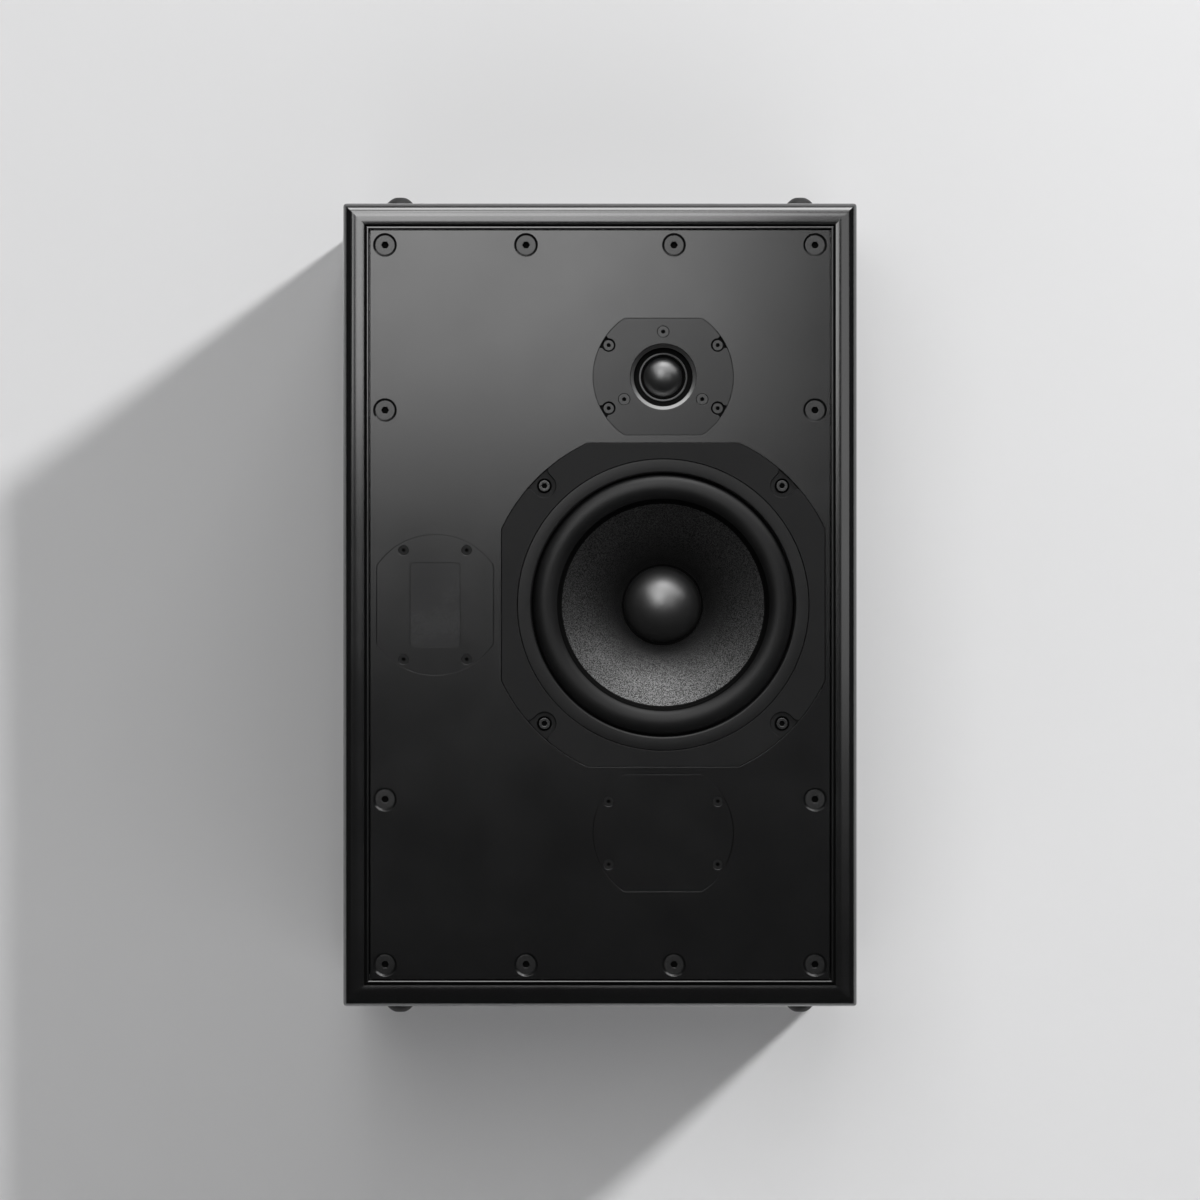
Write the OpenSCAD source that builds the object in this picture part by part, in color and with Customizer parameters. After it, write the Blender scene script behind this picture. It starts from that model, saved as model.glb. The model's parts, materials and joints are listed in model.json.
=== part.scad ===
// Two-way closed-box studio monitor. Front faces -Y, +Z is up, all sizes in millimetres.
// The origin lies under the middle of the cabinet, at the height the bottom feet stand on.

/* [Cabinet] */
// Width over the side boards
cab_w = 320; // [300:1:380]
// Height over the top and bottom boards, without the feet
cab_h = 500; // [486:1:560]
// Depth from the front moulding to the back face
cab_d = 200; // [180:1:260]
// Thickness of the side, top, bottom and back boards
wall = 18; // [17.5:0.5:22]
// Rounding of the four long outer corners
corner_r = 3; // [1.5:0.5:6]
// Width of the ledge that the back panel is glued on
back_ledge = 9; // [5:0.5:12]

/* [Front moulding] */
// Width of the moulded edge, from the outer face to the groove
mould_w = 13.4; // [12.6:0.1:13.8]
// Radius of the quarter round along the outer edge
ovolo_r = 6.2; // [4:0.1:6.5]
// Depth of the narrow flat between the quarter round and the crown
quirk_d = 0.5; // [0.3:0.1:0.7]
// Radius of the shallow crown beside the groove
crown_r = 10; // [8:0.5:14]
// Distance from the outer face to the top of the crown
crown_u = 10.8; // [10.4:0.1:11.2]
// Width of the shadow groove inside the moulding
groove_w = 1.2; // [0.8:0.1:1.6]
// Depth of the shadow groove
groove_depth = 2.2; // [1.5:0.1:3]
// Width of the bead between the groove and the baffle
bead_w = 1.8; // [1.2:0.1:2]
// How far the bead lies below the front plane
bead_set = 0.8; // [0.5:0.1:1]

/* [Baffle] */
// Thickness of the baffle
baffle_t = 18; // [16:0.5:22]
// How far the baffle face lies below the front plane
baffle_set = 1; // [0.9:0.1:2]
// Gap between the bead and the edge of the baffle
baffle_gap = 0.9; // [0.5:0.1:1.2]
// Thickness of the foam strip behind the baffle
seal_t = 2; // [1:0.5:3]
// Side of the square battens that the baffle is screwed to
batten = 18; // [17:0.5:22]
// Distance from the edge of the baffle to its screws
screw_margin = 9; // [8.5:0.1:10]
// Distance from the centre to the inner screws of the top and bottom rows
screw_inner_x = 46; // [40:1:60]
// Distance from the centre to the middle screws of the sides
screw_side_z = 121; // [110:1:135]
// Radius of the baffle screw shanks
m6_r = 2.95; // [2.8:0.05:3]
// Radius of the baffle screw heads
m6_head_r = 6.1; // [5.8:0.1:6.3]
// Length of the baffle screws under the face
m6_len = 36; // [30:1:38]

/* [Layout] */
// Distance of the woofer axis to the right of the centre
woofer_x = 39.3; // [36:0.1:39.5]
// Distance from the woofer axis to each of the three tweeter places
driver_pitch = 141.8; // [141:0.1:142.5]

/* [Woofer] */
// Radius of the woofer flange over its rounded corners
wf_r = 111; // [109.5:0.5:112]
// Half the width of the flange over its flats
wf_flat = 100.5; // [99:0.5:101]
// Thickness of the flange
wf_t = 6.5; // [6:0.1:8]
// Radius of the circle of flange screws
wf_screw_pcr = 104.5; // [103.5:0.1:105.5]
// Outer radius of the ring around the surround
ring_r = 90.8; // [89:0.1:91]
// Outer radius of the half roll
roll_out_r = 81.6; // [80:0.1:82]
// Radius of the cone at its rim
cone_r = 64.6; // [62:0.1:66]
// Height of the half roll
roll_h = 6.5; // [5:0.1:6.5]
// Thickness of the rubber
roll_t = 1; // [0.8:0.1:1.2]
// Thickness of the cone
cone_t = 1.1; // [0.8:0.1:1.5]
// Depth of the cone from rim to neck
cone_drop = 31; // [26:0.5:33]
// Radius of the voice coil former inside
former_r = 22.2; // [20:0.1:23]
// Radius of the dust cap at its glue line
cap_r = 24; // [23.6:0.1:26]
// Height of the dust cap
cap_h = 16.5; // [10:0.5:18]
// Outer radius of the magnet
magnet_r = 67; // [62:1:70]
// Thickness of the magnet
magnet_t = 20; // [16:1:30]
// Thickness of the top and back plates
pole_plate_t = 8; // [6:0.5:10]

/* [Tweeter] */
// Radius of the tweeter faceplate
tw_r = 43.5; // [43:0.1:44]
// Half the height of the faceplate over its flats
tw_flat = 36.2; // [35.5:0.1:37]
// Thickness of the tweeter faceplate and of the blanking plates
tw_t = 4.5; // [4:0.1:6]
// Horizontal distance of the mounting screws from the tweeter axis
tw_screw_x = 33.9; // [33.6:0.1:34.2]
// Vertical distance of the mounting screws from the tweeter axis
tw_screw_z = 19.6; // [19.2:0.1:20]
// Radius of the circle of the three motor screws
tw_motor_pcr = 28; // [27:0.1:28.5]
// Radius of the mouth in the faceplate
mouth_r = 20.7; // [20:0.1:22]
// Depth of the mouth's floor below the faceplate
mouth_depth = 6.2; // [5:0.1:7]
// Radius of the dome at its edge
dome_r = 12.5; // [12:0.1:12.6]
// Height of the dome
dome_h = 5.8; // [4:0.1:6.5]

/* [Badge] */
// Width of the badge plate
badge_w = 31; // [24:0.5:34]
// Height of the badge plate
badge_h = 52.2; // [40:0.1:54]
// Thickness of the badge plate
badge_t = 0.8; // [0.5:0.1:1.5]

/* [Feet] */
// Height of a foot
foot_h = 6.5; // [5:0.1:9]
// Radius of the domed surface of a foot
foot_dome_r = 10; // [9.5:0.1:11]
// Radius of the flat at the tip of a foot
foot_flat_r = 3.4; // [3.2:0.1:4]
// Distance of the feet from the centre line
foot_x = 126; // [110:1:140]
// Distance of the feet from the front and back faces
foot_inset = 45; // [30:1:70]

/* [Terminals] */
// Height of the terminal cup's centre below the middle of the cabinet
cup_drop = 172; // [165:1:178]
// Width of the cup flange
cup_w = 100; // [90:1:120]
// Height of the cup flange
cup_h = 76; // [70:1:80]
// Depth of the cup's hollow
cup_depth = 34; // [28:1:40]
// Distance between the two binding posts
post_pitch = 19.05; // [18:0.05:24]
// Radius of the plug socket in each post
socket_r = 2; // [1.95:0.05:2.1]
// Horizontal distance between the wall bracket inserts
bracket_x = 70; // [50:1:100]
// Vertical distance between the wall bracket inserts
bracket_z = 127; // [100:1:160]

/* [Hidden] */
$fn = 96;

// Small clearances
glue = 0.1;
slip = 0.3;
fit = 0.05;
eps = 1;

// Cabinet, worked out from the sizes above
front_y = -cab_d / 2;
back_y = cab_d / 2;
mid_z = foot_h + cab_h / 2;
bead_in = mould_w + groove_w + bead_w;
baffle_w = cab_w - 2 * (bead_in + baffle_gap);
baffle_h = cab_h - 2 * (bead_in + baffle_gap);
baffle_back = baffle_set + baffle_t;
batten_front = baffle_back + seal_t;
batten_back = batten_front + batten;
inner_w = cab_w - 2 * wall;
inner_h = cab_h - 2 * wall;
inner_back = cab_d - wall;
screw_x = baffle_w / 2 - screw_margin;
screw_z = baffle_h / 2 - screw_margin;
baffle_screw_at = [for (sx = [-1, 1], sz = [-1, 1]) each [
    [sx * screw_x, sz * screw_z],
    [sx * screw_inner_x, sz * screw_z],
    [sx * screw_x, sz * screw_side_z]
]];
m6_hex_r = 2.31;
m6_hex_depth = 2.8;
head_sink = 1.2;
back_arris_r = 1;
insert_r = 4.5;
insert_len = 14;
insert_bore_r = 3;
bracket_at = [for (sx = [-1, 1], sz = [-1, 1]) [sx * bracket_x / 2, sz * bracket_z / 2]];

// Layout of the four openings in the baffle
woofer_at = [woofer_x, 0];
tweeter_at = [woofer_x, driver_pitch];
lower_at = [woofer_x, -driver_pitch];
side_at = [woofer_x - driver_pitch, 0];

// Woofer, depths are from the baffle face
wf_gasket_t = 1;
wf_hole_r = 93.5;
throat_r = 92.5;
pocket_r = 7.3;
pocket_floor = 2;
pocket_fillet = 4;
pocket_neck = 2.7;
m4_head_r = 3.5;
m4_head_h = 3.6;
m4_r = 1.95;
m4_bore_r = 4.5;
m4_seat = 4.2;
m4_hex_r = 1.73;
m4_hex_depth = 2;
m4_len = 14;
ring_face = 0.5;
surround_seat = wf_t + 0.1;
surround_base = surround_seat - roll_t;
throat_back = 16;
spider_depth = 41;
spider_r = 53;
spider_wall = 4;
hub_front = 58;
hub_back = 64;
hub_r = 62;
arm_w = 9;
arm_count = 6;
plate_r = 60;
plate_back = hub_back + pole_plate_t;
magnet_back = plate_back + magnet_t;
yoke_back = magnet_back + pole_plate_t;
magnet_hole_r = 36;
former_t = 0.3;
coil_t = 0.7;
coil_len = 12;
gap_clear = 0.5;
former_front = surround_base + cone_drop - 2;
former_back = plate_back + 3;
neck_r = former_r + former_t + fit;
coil_r = former_r + former_t + coil_t;

// Tweeter, depths are from the baffle face
tw_gasket_t = 0.5;
tw_hole_r = 33;
tw_pocket_r = 4.2;
tw_pocket_floor = 1.2;
m35_r = 1.7;
m35_head_r = 3.2;
m35_len = 14;
m35_hex_r = 1.35;
m35_hex_depth = 1.4;
head_play = 0.15;
blank_head_sink = 0.1;
mouth_floor_r = mouth_r - 2.1;
lip_r = 15.1;
lip_inner_r = 14;
lip_foot_r = 18;
lip_foot_t = 0.9;
motor_head_sink = 0.2;
tw_plate_front = mouth_depth + 4.3;
tw_plate_t = 4;
tw_plate_r = 32;
tw_plate_back = tw_plate_front + tw_plate_t;
tw_magnet_r = 25;
tw_yoke_r = 28;
tw_magnet_t = 9;
tw_magnet_back = tw_plate_back + tw_magnet_t;
tw_yoke_back = tw_magnet_back + 5;
chamber_r = 24;
chamber_len = 20;
chamber_wall = 2;
dome_t = 0.4;
dome_base = mouth_depth + 0.8;
dome_ledge = dome_base + dome_t;

// Terminals, depths are from the front plane
cup_z = -cup_drop;
cup_t = 3;
cup_flange_r = 8;
cup_body_w = cup_w - 20;
cup_body_h = cup_h - 20;
cup_floor = cab_d - cup_depth;
post_at = [for (s = [-1, 1]) [s * post_pitch / 2, cup_z]];
stud_r = 2.9;
stud_end = cab_d - 11;
collar_h = 2;
cap_bottom = cup_floor + collar_h + slip;
cap_len = 19;
cap_out_r = 6.5;
core_r = 4.4;
core_bottom = cap_bottom + 3.5;
core_len = 10;
socket_len = stud_end - cup_floor - 7;

// Crossover board on the back panel, beside the left wall
board_w = 84;
board_h = 140;
board_t = 1.6;
board_edge = 12;
board_x = board_edge + (board_w - inner_w) / 2;
board_z = -8;
standoff_len = 8;
board_back = inner_back - standoff_len;
board_face = board_back - board_t;

// Placing helpers: a front view is drawn with x to the right and y up
module front_view(depth) {
    translate([0, front_y + depth, mid_z]) rotate([90, 0, 0]) children();
}

module plate(face, thickness) {
    front_view(face + thickness) linear_extrude(thickness) children();
}

module at_woofer() {
    front_view(baffle_set) translate([woofer_at[0], woofer_at[1], 0]) children();
}

module at_tweeter() {
    front_view(baffle_set) translate([tweeter_at[0], tweeter_at[1], 0]) children();
}

// A turned part from [radius, depth] points
module turned(points) {
    rotate_extrude() polygon([for (p = points) [p[0], -p[1]]]);
}

module tube(outer, inner, face, back) {
    turned([[inner, face], [outer, face], [outer, back], [inner, back]]);
}

// A round rod from one depth to another in a front view
module rod(radius, face, back, sides = 96) {
    translate([0, 0, -back]) cylinder(h = back - face, r = radius, $fn = sides);
}

// Flat outlines
module rounded_rect(w, h, r) {
    square([w - 2 * r, h], center = true);
    square([w, h - 2 * r], center = true);
    for (sx = [-1, 1], sy = [-1, 1])
        translate([sx * (w / 2 - r), sy * (h / 2 - r)]) circle(r);
}

module truncated_circle(r, half_w, half_h) {
    intersection() {
        circle(r);
        square([2 * half_w, 2 * half_h], center = true);
    }
}

// A convex outline with its corners rounded by true arcs
module rounded_outline(points, radii) {
    n = len(points);
    corners = [for (i = [0:n - 1])
        let (
            p = points[i],
            a = unit(points[(i + n - 1) % n] - p),
            b = unit(points[(i + 1) % n] - p),
            half = acos(a * b) / 2,
            reach = radii[i] / tan(half)
        )
        [p + reach * a, p + reach * b, p + radii[i] / sin(half) * unit(a + b)]];
    polygon([for (i = [0:n - 1]) each radii[i] > 0 ? [corners[i][0], corners[i][1]] : [points[i]]]);
    for (i = [0:n - 1]) if (radii[i] > 0) translate(corners[i][2]) circle(radii[i]);
}

function unit(v) = v / norm(v);

// Cabinet boards. The section is drawn as distance in from the outer face, then depth.
module board_section() {
    rounded_outline(
        [[0, cab_d], [0, quirk_d], [mould_w, quirk_d], [mould_w, cab_d]],
        [back_arris_r, ovolo_r, 0, 0]
    );
    intersection() {
        translate([crown_u, crown_r]) circle(crown_r);
        translate([ovolo_r, 0]) square([mould_w - ovolo_r, crown_r]);
    }
    difference() {
        translate([mould_w - fit, groove_depth]) square([wall - mould_w + fit, cab_d - groove_depth]);
        translate([bead_in, -eps]) square([wall, batten_front + eps]);
    }
    translate([mould_w + groove_w, bead_set])
        rounded_outline(
            [[0, bead_w * 2], [0, 0], [bead_w, 0], [bead_w, bead_w * 2]],
            [0, bead_w * 0.4, bead_w * 0.4, 0]
        );
}

module cut_section() {
    difference() {
        board_section();
        translate([back_ledge, inner_back]) square([wall, wall + eps]);
    }
}

module cabinet_envelope() {
    front_view(cab_d + eps) linear_extrude(cab_d + 2 * eps) rounded_rect(cab_w, cab_h, corner_r);
}

module mitre(length, span) {
    polygon([[-length / 2, 0], [length / 2, 0], [length / 2 - span, span], [span - length / 2, span]]);
}

module upright_board() {
    color("#1b1b1c") intersection() {
        translate([-cab_w / 2, front_y, foot_h]) linear_extrude(cab_h) cut_section();
        front_view(cab_d + eps) linear_extrude(cab_d + 2 * eps)
            translate([-cab_w / 2, 0]) rotate(-90) mitre(cab_h, wall + eps);
        cabinet_envelope();
    }
}

module level_board() {
    color("#1b1b1c") intersection() {
        translate([cab_w / 2, front_y, foot_h]) rotate([0, -90, 0]) linear_extrude(cab_w) cut_section();
        front_view(cab_d + eps) linear_extrude(cab_d + 2 * eps)
            translate([0, -cab_h / 2]) mitre(cab_w, wall + eps);
        cabinet_envelope();
    }
}

module left_side() {
    upright_board();
}

module right_side() {
    mirror([1, 0, 0]) upright_board();
}

module foot_screw_holes() {
    for (top = [0, 1]) foot_places(top)
        translate([0, 0, -eps]) cylinder(h = foot_screw_len, r = foot_screw_r + fit);
}

module bottom_board() {
    difference() {
        level_board();
        foot_screw_holes();
    }
}

module top_board() {
    difference() {
        translate([0, 0, mid_z]) mirror([0, 0, 1]) translate([0, 0, -mid_z]) level_board();
        foot_screw_holes();
    }
}

module back_panel() {
    color("#1e1e1f") difference() {
        plate(inner_back, wall)
            square([cab_w - 2 * back_ledge - 2 * glue, cab_h - 2 * back_ledge - 2 * glue], center = true);
        plate(inner_back - eps, wall + 2 * eps)
            translate([0, cup_z]) rounded_rect(cup_body_w + 2 * slip, cup_body_h + 2 * slip, cup_flange_r);
        plate(cab_d - cup_t, cup_t + eps)
            translate([0, cup_z]) rounded_rect(cup_w + 2 * slip, cup_h + 2 * slip, cup_flange_r + slip);
        front_view(0) {
            for (p = cup_screw_at) translate(p) rod(cup_screw_r + fit, cab_d - cup_screw_len - eps, cab_d);
            for (p = bracket_at) translate(p) rod(insert_r + fit, cab_d - insert_len, cab_d + eps);
            for (p = standoff_at) translate(p)
                rod(standoff_screw_r + fit, inner_back - eps, inner_back + standoff_bite + eps);
        }
    }
}

// Room behind the baffle for the woofer basket and for a tweeter at the side place
module driver_scallops() {
    front_view(0) {
        translate(woofer_at) rod(wf_hole_r + 1.5, baffle_back - eps, batten_back + eps);
        translate(side_at) rod(tw_hole_r, baffle_back - eps, batten_back + eps);
    }
}

module insert_bores(from) {
    front_view(0) for (p = baffle_screw_at) translate(p) rod(insert_r + fit, from, batten_front + insert_len);
}

module side_battens() {
    color("#b99a6b") difference() {
        for (s = [-1, 1]) plate(batten_front, batten)
            translate([s * (inner_w - batten) / 2, 0]) square([batten, inner_h - 2 * glue], center = true);
        driver_scallops();
        insert_bores(batten_front - eps);
        batten_screw_tails();
    }
}

module cross_battens() {
    color("#b99a6b") difference() {
        for (s = [-1, 1]) plate(batten_front, batten)
            translate([0, s * (inner_h - batten) / 2])
                square([inner_w - 2 * batten - 2 * glue, batten], center = true);
        insert_bores(batten_front - eps);
        batten_screw_tails();
    }
}

module batten_screw_tails() {
    front_view(0) for (p = baffle_screw_at) translate(p) rod(m6_r + slip, batten_front, batten_back + eps);
}

// Shelf brace with two windows, glued between the walls and the back
brace_t = 15;
brace_z = 97;
brace_gap = 12;
brace_front = batten_back + brace_gap;
brace_web = 24;
window_r = 16;
module window_brace() {
    depth = inner_back - brace_front;
    window_w = (inner_w - 3 * brace_web) / 2;
    color("#b99a6b") translate([0, front_y + brace_front + depth / 2, mid_z + brace_z - brace_t / 2])
        linear_extrude(brace_t) difference() {
            square([inner_w - 2 * glue, depth - 2 * glue], center = true);
            for (s = [-1, 1]) translate([s * (window_w + brace_web) / 2, 0])
                rounded_rect(window_w, depth - 2 * brace_web, window_r);
        }
}

module baffle_gasket() {
    color("#3a3a3a") difference() {
        plate(baffle_back, seal_t) difference() {
            square([inner_w - 2 * glue, inner_h - 2 * glue], center = true);
            square([inner_w - 2 * batten, inner_h - 2 * batten], center = true);
        }
        driver_scallops();
        front_view(0) for (p = baffle_screw_at) translate(p)
            rod(m6_r + slip, baffle_back - eps, batten_front + eps);
    }
}

// Baffle with its flush recesses
module woofer_outline(grow = 0) {
    truncated_circle(wf_r + grow, wf_flat + grow, wf_flat + grow);
}

module faceplate_outline(grow = 0) {
    truncated_circle(tw_r + grow, tw_r + grow, tw_flat + grow);
}

tw_screw_at = [for (sx = [-1, 1], sz = [-1, 1]) [sx * tw_screw_x, sz * tw_screw_z]];
wf_screw_at = [for (a = [45:90:315]) wf_screw_pcr * [cos(a), sin(a)]];

// Each of the three tweeter places: position and turn
tweeter_places = [[tweeter_at, 0], [lower_at, 0], [side_at, 90]];

module baffle() {
    recess = tw_t + tw_gasket_t;
    color("#222223") difference() {
        plate(baffle_set, baffle_t) square([baffle_w, baffle_h], center = true);
        front_view(baffle_set) {
            translate(woofer_at) {
                translate([0, 0, -wf_t - wf_gasket_t])
                    linear_extrude(wf_t + wf_gasket_t + eps) woofer_outline(slip);
                rod(wf_hole_r, -eps, baffle_t + eps);
                for (p = wf_screw_at) translate(p) rod(m4_r + fit, wf_t, m4_seat + m4_len);
            }
            for (place = tweeter_places) translate(place[0]) rotate(place[1]) {
                translate([0, 0, -recess]) linear_extrude(recess + eps) faceplate_outline(slip);
                rod(tw_hole_r, -eps, baffle_t + eps);
                for (p = tw_screw_at) translate(p) rod(m35_r + fit, tw_t, m35_len + 1);
            }
            for (p = baffle_screw_at) translate(p) {
                rod(m6_r + slip, -eps, baffle_t + eps);
                countersink(m6_head_r + head_sink + fit, m6_r + slip);
            }
        }
    }
}

// A 90 degree countersink that opens at the face
module countersink(top_r, hole_r) {
    translate([0, 0, hole_r - top_r]) cylinder(h = top_r - hole_r, r1 = hole_r, r2 = top_r);
    translate([0, 0, -fit]) cylinder(h = eps, r = top_r);
}

// Flat-headed socket screw with its head sunk below the face
module flat_screw(head_r, shank_r, length, hex_r, hex_depth, sink) {
    difference() {
        union() {
            translate([0, 0, -sink - head_r + shank_r])
                cylinder(h = head_r - shank_r, r1 = shank_r, r2 = head_r);
            rod(shank_r, sink, length);
        }
        rod(hex_r, -eps, sink + hex_depth, 6);
    }
}

module baffle_screws() {
    color("#2c2c2e") front_view(baffle_set) for (p = baffle_screw_at) translate(p)
        flat_screw(m6_head_r, m6_r, m6_len, m6_hex_r, m6_hex_depth, head_sink);
}

module threaded_inserts() {
    color("#b08d4a") front_view(0) {
        for (p = baffle_screw_at) translate(p)
            tube(insert_r, insert_bore_r, batten_front, batten_front + insert_len);
        for (p = bracket_at) translate(p) tube(insert_r, insert_bore_r, cab_d - insert_len, cab_d);
    }
}

// Woofer
module woofer_pocket() {
    neck = wf_screw_pcr + pocket_neck;
    flare = pocket_r + pocket_fillet;
    translate([wf_screw_pcr, 0]) circle(pocket_r);
    translate([wf_screw_pcr, -pocket_r]) square([pocket_neck, 2 * pocket_r]);
    difference() {
        translate([neck, -flare]) square([wf_r - neck + eps, 2 * flare]);
        for (s = [-1, 1]) translate([neck, s * flare]) circle(pocket_fillet);
    }
}

module basket_arm() {
    root = throat_r - 8;
    rim = throat_r - 1;
    side = [
        [root, throat_back - 4], [rim, throat_back - 4], [rim, throat_back + 6], [hub_r - 1, hub_back],
        [spider_r - 1, hub_back], [spider_r - 1, hub_front - 8], [root, throat_back + 2]
    ];
    rotate([90, 0, 0]) translate([0, 0, -arm_w / 2]) linear_extrude(arm_w)
        polygon([for (p = side) [p[0], -p[1]]]);
}

module woofer_frame() {
    color("#2b2b2c") at_woofer() difference() {
        union() {
            translate([0, 0, -wf_t]) linear_extrude(wf_t) woofer_outline();
            rod(throat_r, wf_t - fit, throat_back);
            for (i = [0:arm_count - 1]) rotate(i * 360 / arm_count) basket_arm();
            rod(spider_r + spider_wall / 2, spider_depth, hub_back);
            rod(hub_r, hub_front, hub_back);
        }
        rod(ring_r, -eps, surround_seat);
        rod(roll_out_r, -eps, throat_back + eps);
        rod(spider_r - spider_wall / 2, throat_back, hub_front);
        rod(neck_r + 10, throat_back, hub_back + eps);
        for (a = [45:90:315]) rotate(a) {
            translate([0, 0, -pocket_floor]) linear_extrude(pocket_floor + eps) woofer_pocket();
            translate([wf_screw_pcr, 0, 0]) {
                rod(m4_bore_r, -eps, m4_seat);
                rod(m4_r + slip, -eps, wf_t + eps);
            }
        }
    }
}

module woofer_gasket() {
    color("#3a3a3a") at_woofer() translate([0, 0, -wf_t - wf_gasket_t])
        linear_extrude(wf_gasket_t) difference() {
            woofer_outline();
            circle(wf_hole_r);
            for (p = wf_screw_at) translate(p) circle(m4_r + slip);
        }
}

module woofer_trim_ring() {
    inner = roll_out_r + 0.4;
    outer = ring_r - glue;
    color("#303031") at_woofer() turned([
        [inner, ring_face + 1.2], [inner + 1, ring_face + 0.3], [outer - 0.5, ring_face],
        [outer, ring_face + 0.5], [outer, surround_base - glue], [inner, surround_base - glue]
    ]);
}

// Half roll between the cone's rim and the basket, with a glued flange on each side
roll_mid_r = (roll_out_r + cone_r) / 2;
roll_half = (roll_out_r - cone_r) / 2;
lip_w = 4;
lip_t = 0.6;
cone_rim = surround_base + lip_t + slip;
module woofer_surround() {
    steps = 18;
    base = surround_base;
    outside = [for (i = [0:steps]) let (a = 180 * i / steps)
        [roll_mid_r + roll_half * cos(a), base - roll_h * sin(a)]];
    inside = [for (i = [0:steps]) let (a = 180 - 180 * i / steps)
        [roll_mid_r + (roll_half - roll_t) * cos(a), base + roll_t - roll_h * sin(a)]];
    color("#1d1d1e") at_woofer() turned(concat(
        [[ring_r - slip, base + roll_t], [ring_r - slip, base]], outside,
        [[cone_r - lip_w, cone_depth(cone_r - lip_w) - slip - lip_t],
         [cone_r - lip_w, cone_depth(cone_r - lip_w) - slip], [cone_r, base + lip_t]],
        inside
    ));
}

// Depth of the cone's front at a radius, steeper towards the neck
cone_flare = 0.28;
function cone_share(r) = (cone_r - r) / (cone_r - neck_r);
function cone_depth(r) = cone_rim + cone_drop * cone_share(r) * (1 - cone_flare * (1 - cone_share(r)));
module woofer_cone() {
    steps = 12;
    radii = [for (i = [0:steps]) cone_r - 0.3 - (cone_r - 0.3 - neck_r) * i / steps];
    front = [for (r = radii) [r, cone_depth(r)]];
    rear = [for (i = [0:steps]) let (r = radii[steps - i]) [r, cone_depth(r) + cone_t * 1.3]];
    color("#333334") at_woofer() turned(concat(front, rear));
}

// Domed cap with a glue flange that follows the cone
module woofer_dust_cap() {
    steps = 12;
    shell = 0.6;
    flange_w = 1.6;
    seat = cone_depth(cap_r) - glue;
    outer_seat = cone_depth(cap_r + flange_w) - glue;
    sphere_r = (cap_r * cap_r + cap_h * cap_h) / (2 * cap_h);
    half = asin(cap_r / sphere_r);
    centre = seat - shell - cap_h + sphere_r;
    dome = [for (i = [0:steps]) let (a = half * i / steps) [sphere_r * sin(a), centre - sphere_r * cos(a)]];
    hollow = [for (i = [steps:-1:0]) let (a = half * i / steps)
        [(sphere_r - shell) * sin(a), centre - (sphere_r - shell) * cos(a)]];
    color("#2a2a2b") at_woofer() turned(concat(
        dome, [[cap_r + flange_w, outer_seat - shell], [cap_r + flange_w, outer_seat], [cap_r, seat]], hollow
    ));
}

module woofer_former() {
    color("#c9b27a") at_woofer() tube(former_r + former_t, former_r, former_front, former_back);
}

module woofer_coil() {
    middle = hub_back + pole_plate_t / 2;
    inner = former_r + former_t + 0.02;
    color("#b5652b") at_woofer() tube(coil_r, inner, middle - coil_len / 2, middle + coil_len / 2);
}

module woofer_spider() {
    waves = 5;
    steps = waves * 8;
    inner = coil_r + slip;
    start = inner + 2;
    stop = spider_r - 3;
    thick = 0.6;
    wave = [for (i = [0:steps]) let (t = i / steps)
        [start + (stop - start) * t, spider_depth - 1.2 - 1.1 * sin(360 * waves * t)]];
    color("#c8a24c") at_woofer() turned(concat(
        [[neck_r + slip, spider_depth - 1.2]], wave, [[spider_r + 1, spider_depth - thick]],
        [[spider_r + 1, spider_depth], [spider_r - 2, spider_depth]],
        [for (i = [steps:-1:0]) [wave[i][0], wave[i][1] + thick]],
        [[neck_r + slip, spider_depth - 1.2 + thick]]
    ));
}

module woofer_top_plate() {
    color("#8a8a88") at_woofer() tube(plate_r, coil_r + gap_clear, hub_back, plate_back);
}

module woofer_magnet() {
    color("#4a4a4c") at_woofer() tube(magnet_r, magnet_hole_r, plate_back, magnet_back);
}

module woofer_yoke() {
    vent_r = 6;
    pole_r = former_r - gap_clear;
    color("#8a8a88") at_woofer() turned([
        [vent_r, hub_back], [pole_r, hub_back], [pole_r, magnet_back], [plate_r, magnet_back],
        [plate_r, yoke_back - 2], [plate_r - 2, yoke_back], [vent_r + 3, yoke_back], [vent_r, yoke_back - 3]
    ]);
}

// Terminal strips with two lugs each, one on the woofer's hub and one on the tweeter's top plate
strip_w = 26;
strip_t = 3;
lug_gap = 14;
tw_strip_in = tw_magnet_r + 1.2;
tw_strip_w = 5.6;
module lug(length) {
    translate([-2.4, -length, 0]) cube([4.8, length, 0.8]);
}

module driver_terminals() {
    color("#c9b27a") at_woofer() {
        translate([-strip_w / 2, -hub_r - strip_t, -hub_back]) cube([strip_w, strip_t, hub_back - hub_front]);
        for (s = [-1, 1]) translate([s * lug_gap / 2, -hub_r - strip_t + fit, -hub_back + 2]) lug(9);
    }
    color("#c9b27a") at_tweeter() {
        translate([-tw_strip_in - tw_strip_w, -7, -tw_plate_back - strip_t]) cube([tw_strip_w, 14, strip_t]);
        for (s = [-1, 1]) translate([-tw_strip_in - tw_strip_w / 2, s * 5, -tw_plate_back - strip_t + fit])
            rotate([90, 0, 90]) lug(5);
    }
}

module woofer_screws() {
    color("#3a3a3c") at_woofer() for (p = wf_screw_at) translate(p) difference() {
        union() {
            rod(m4_head_r, m4_seat - m4_head_h, m4_seat);
            rod(m4_r, m4_seat, m4_seat + m4_len - 1);
        }
        rod(m4_hex_r, -eps, m4_seat - m4_head_h + m4_hex_depth, 6);
    }
}

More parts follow.
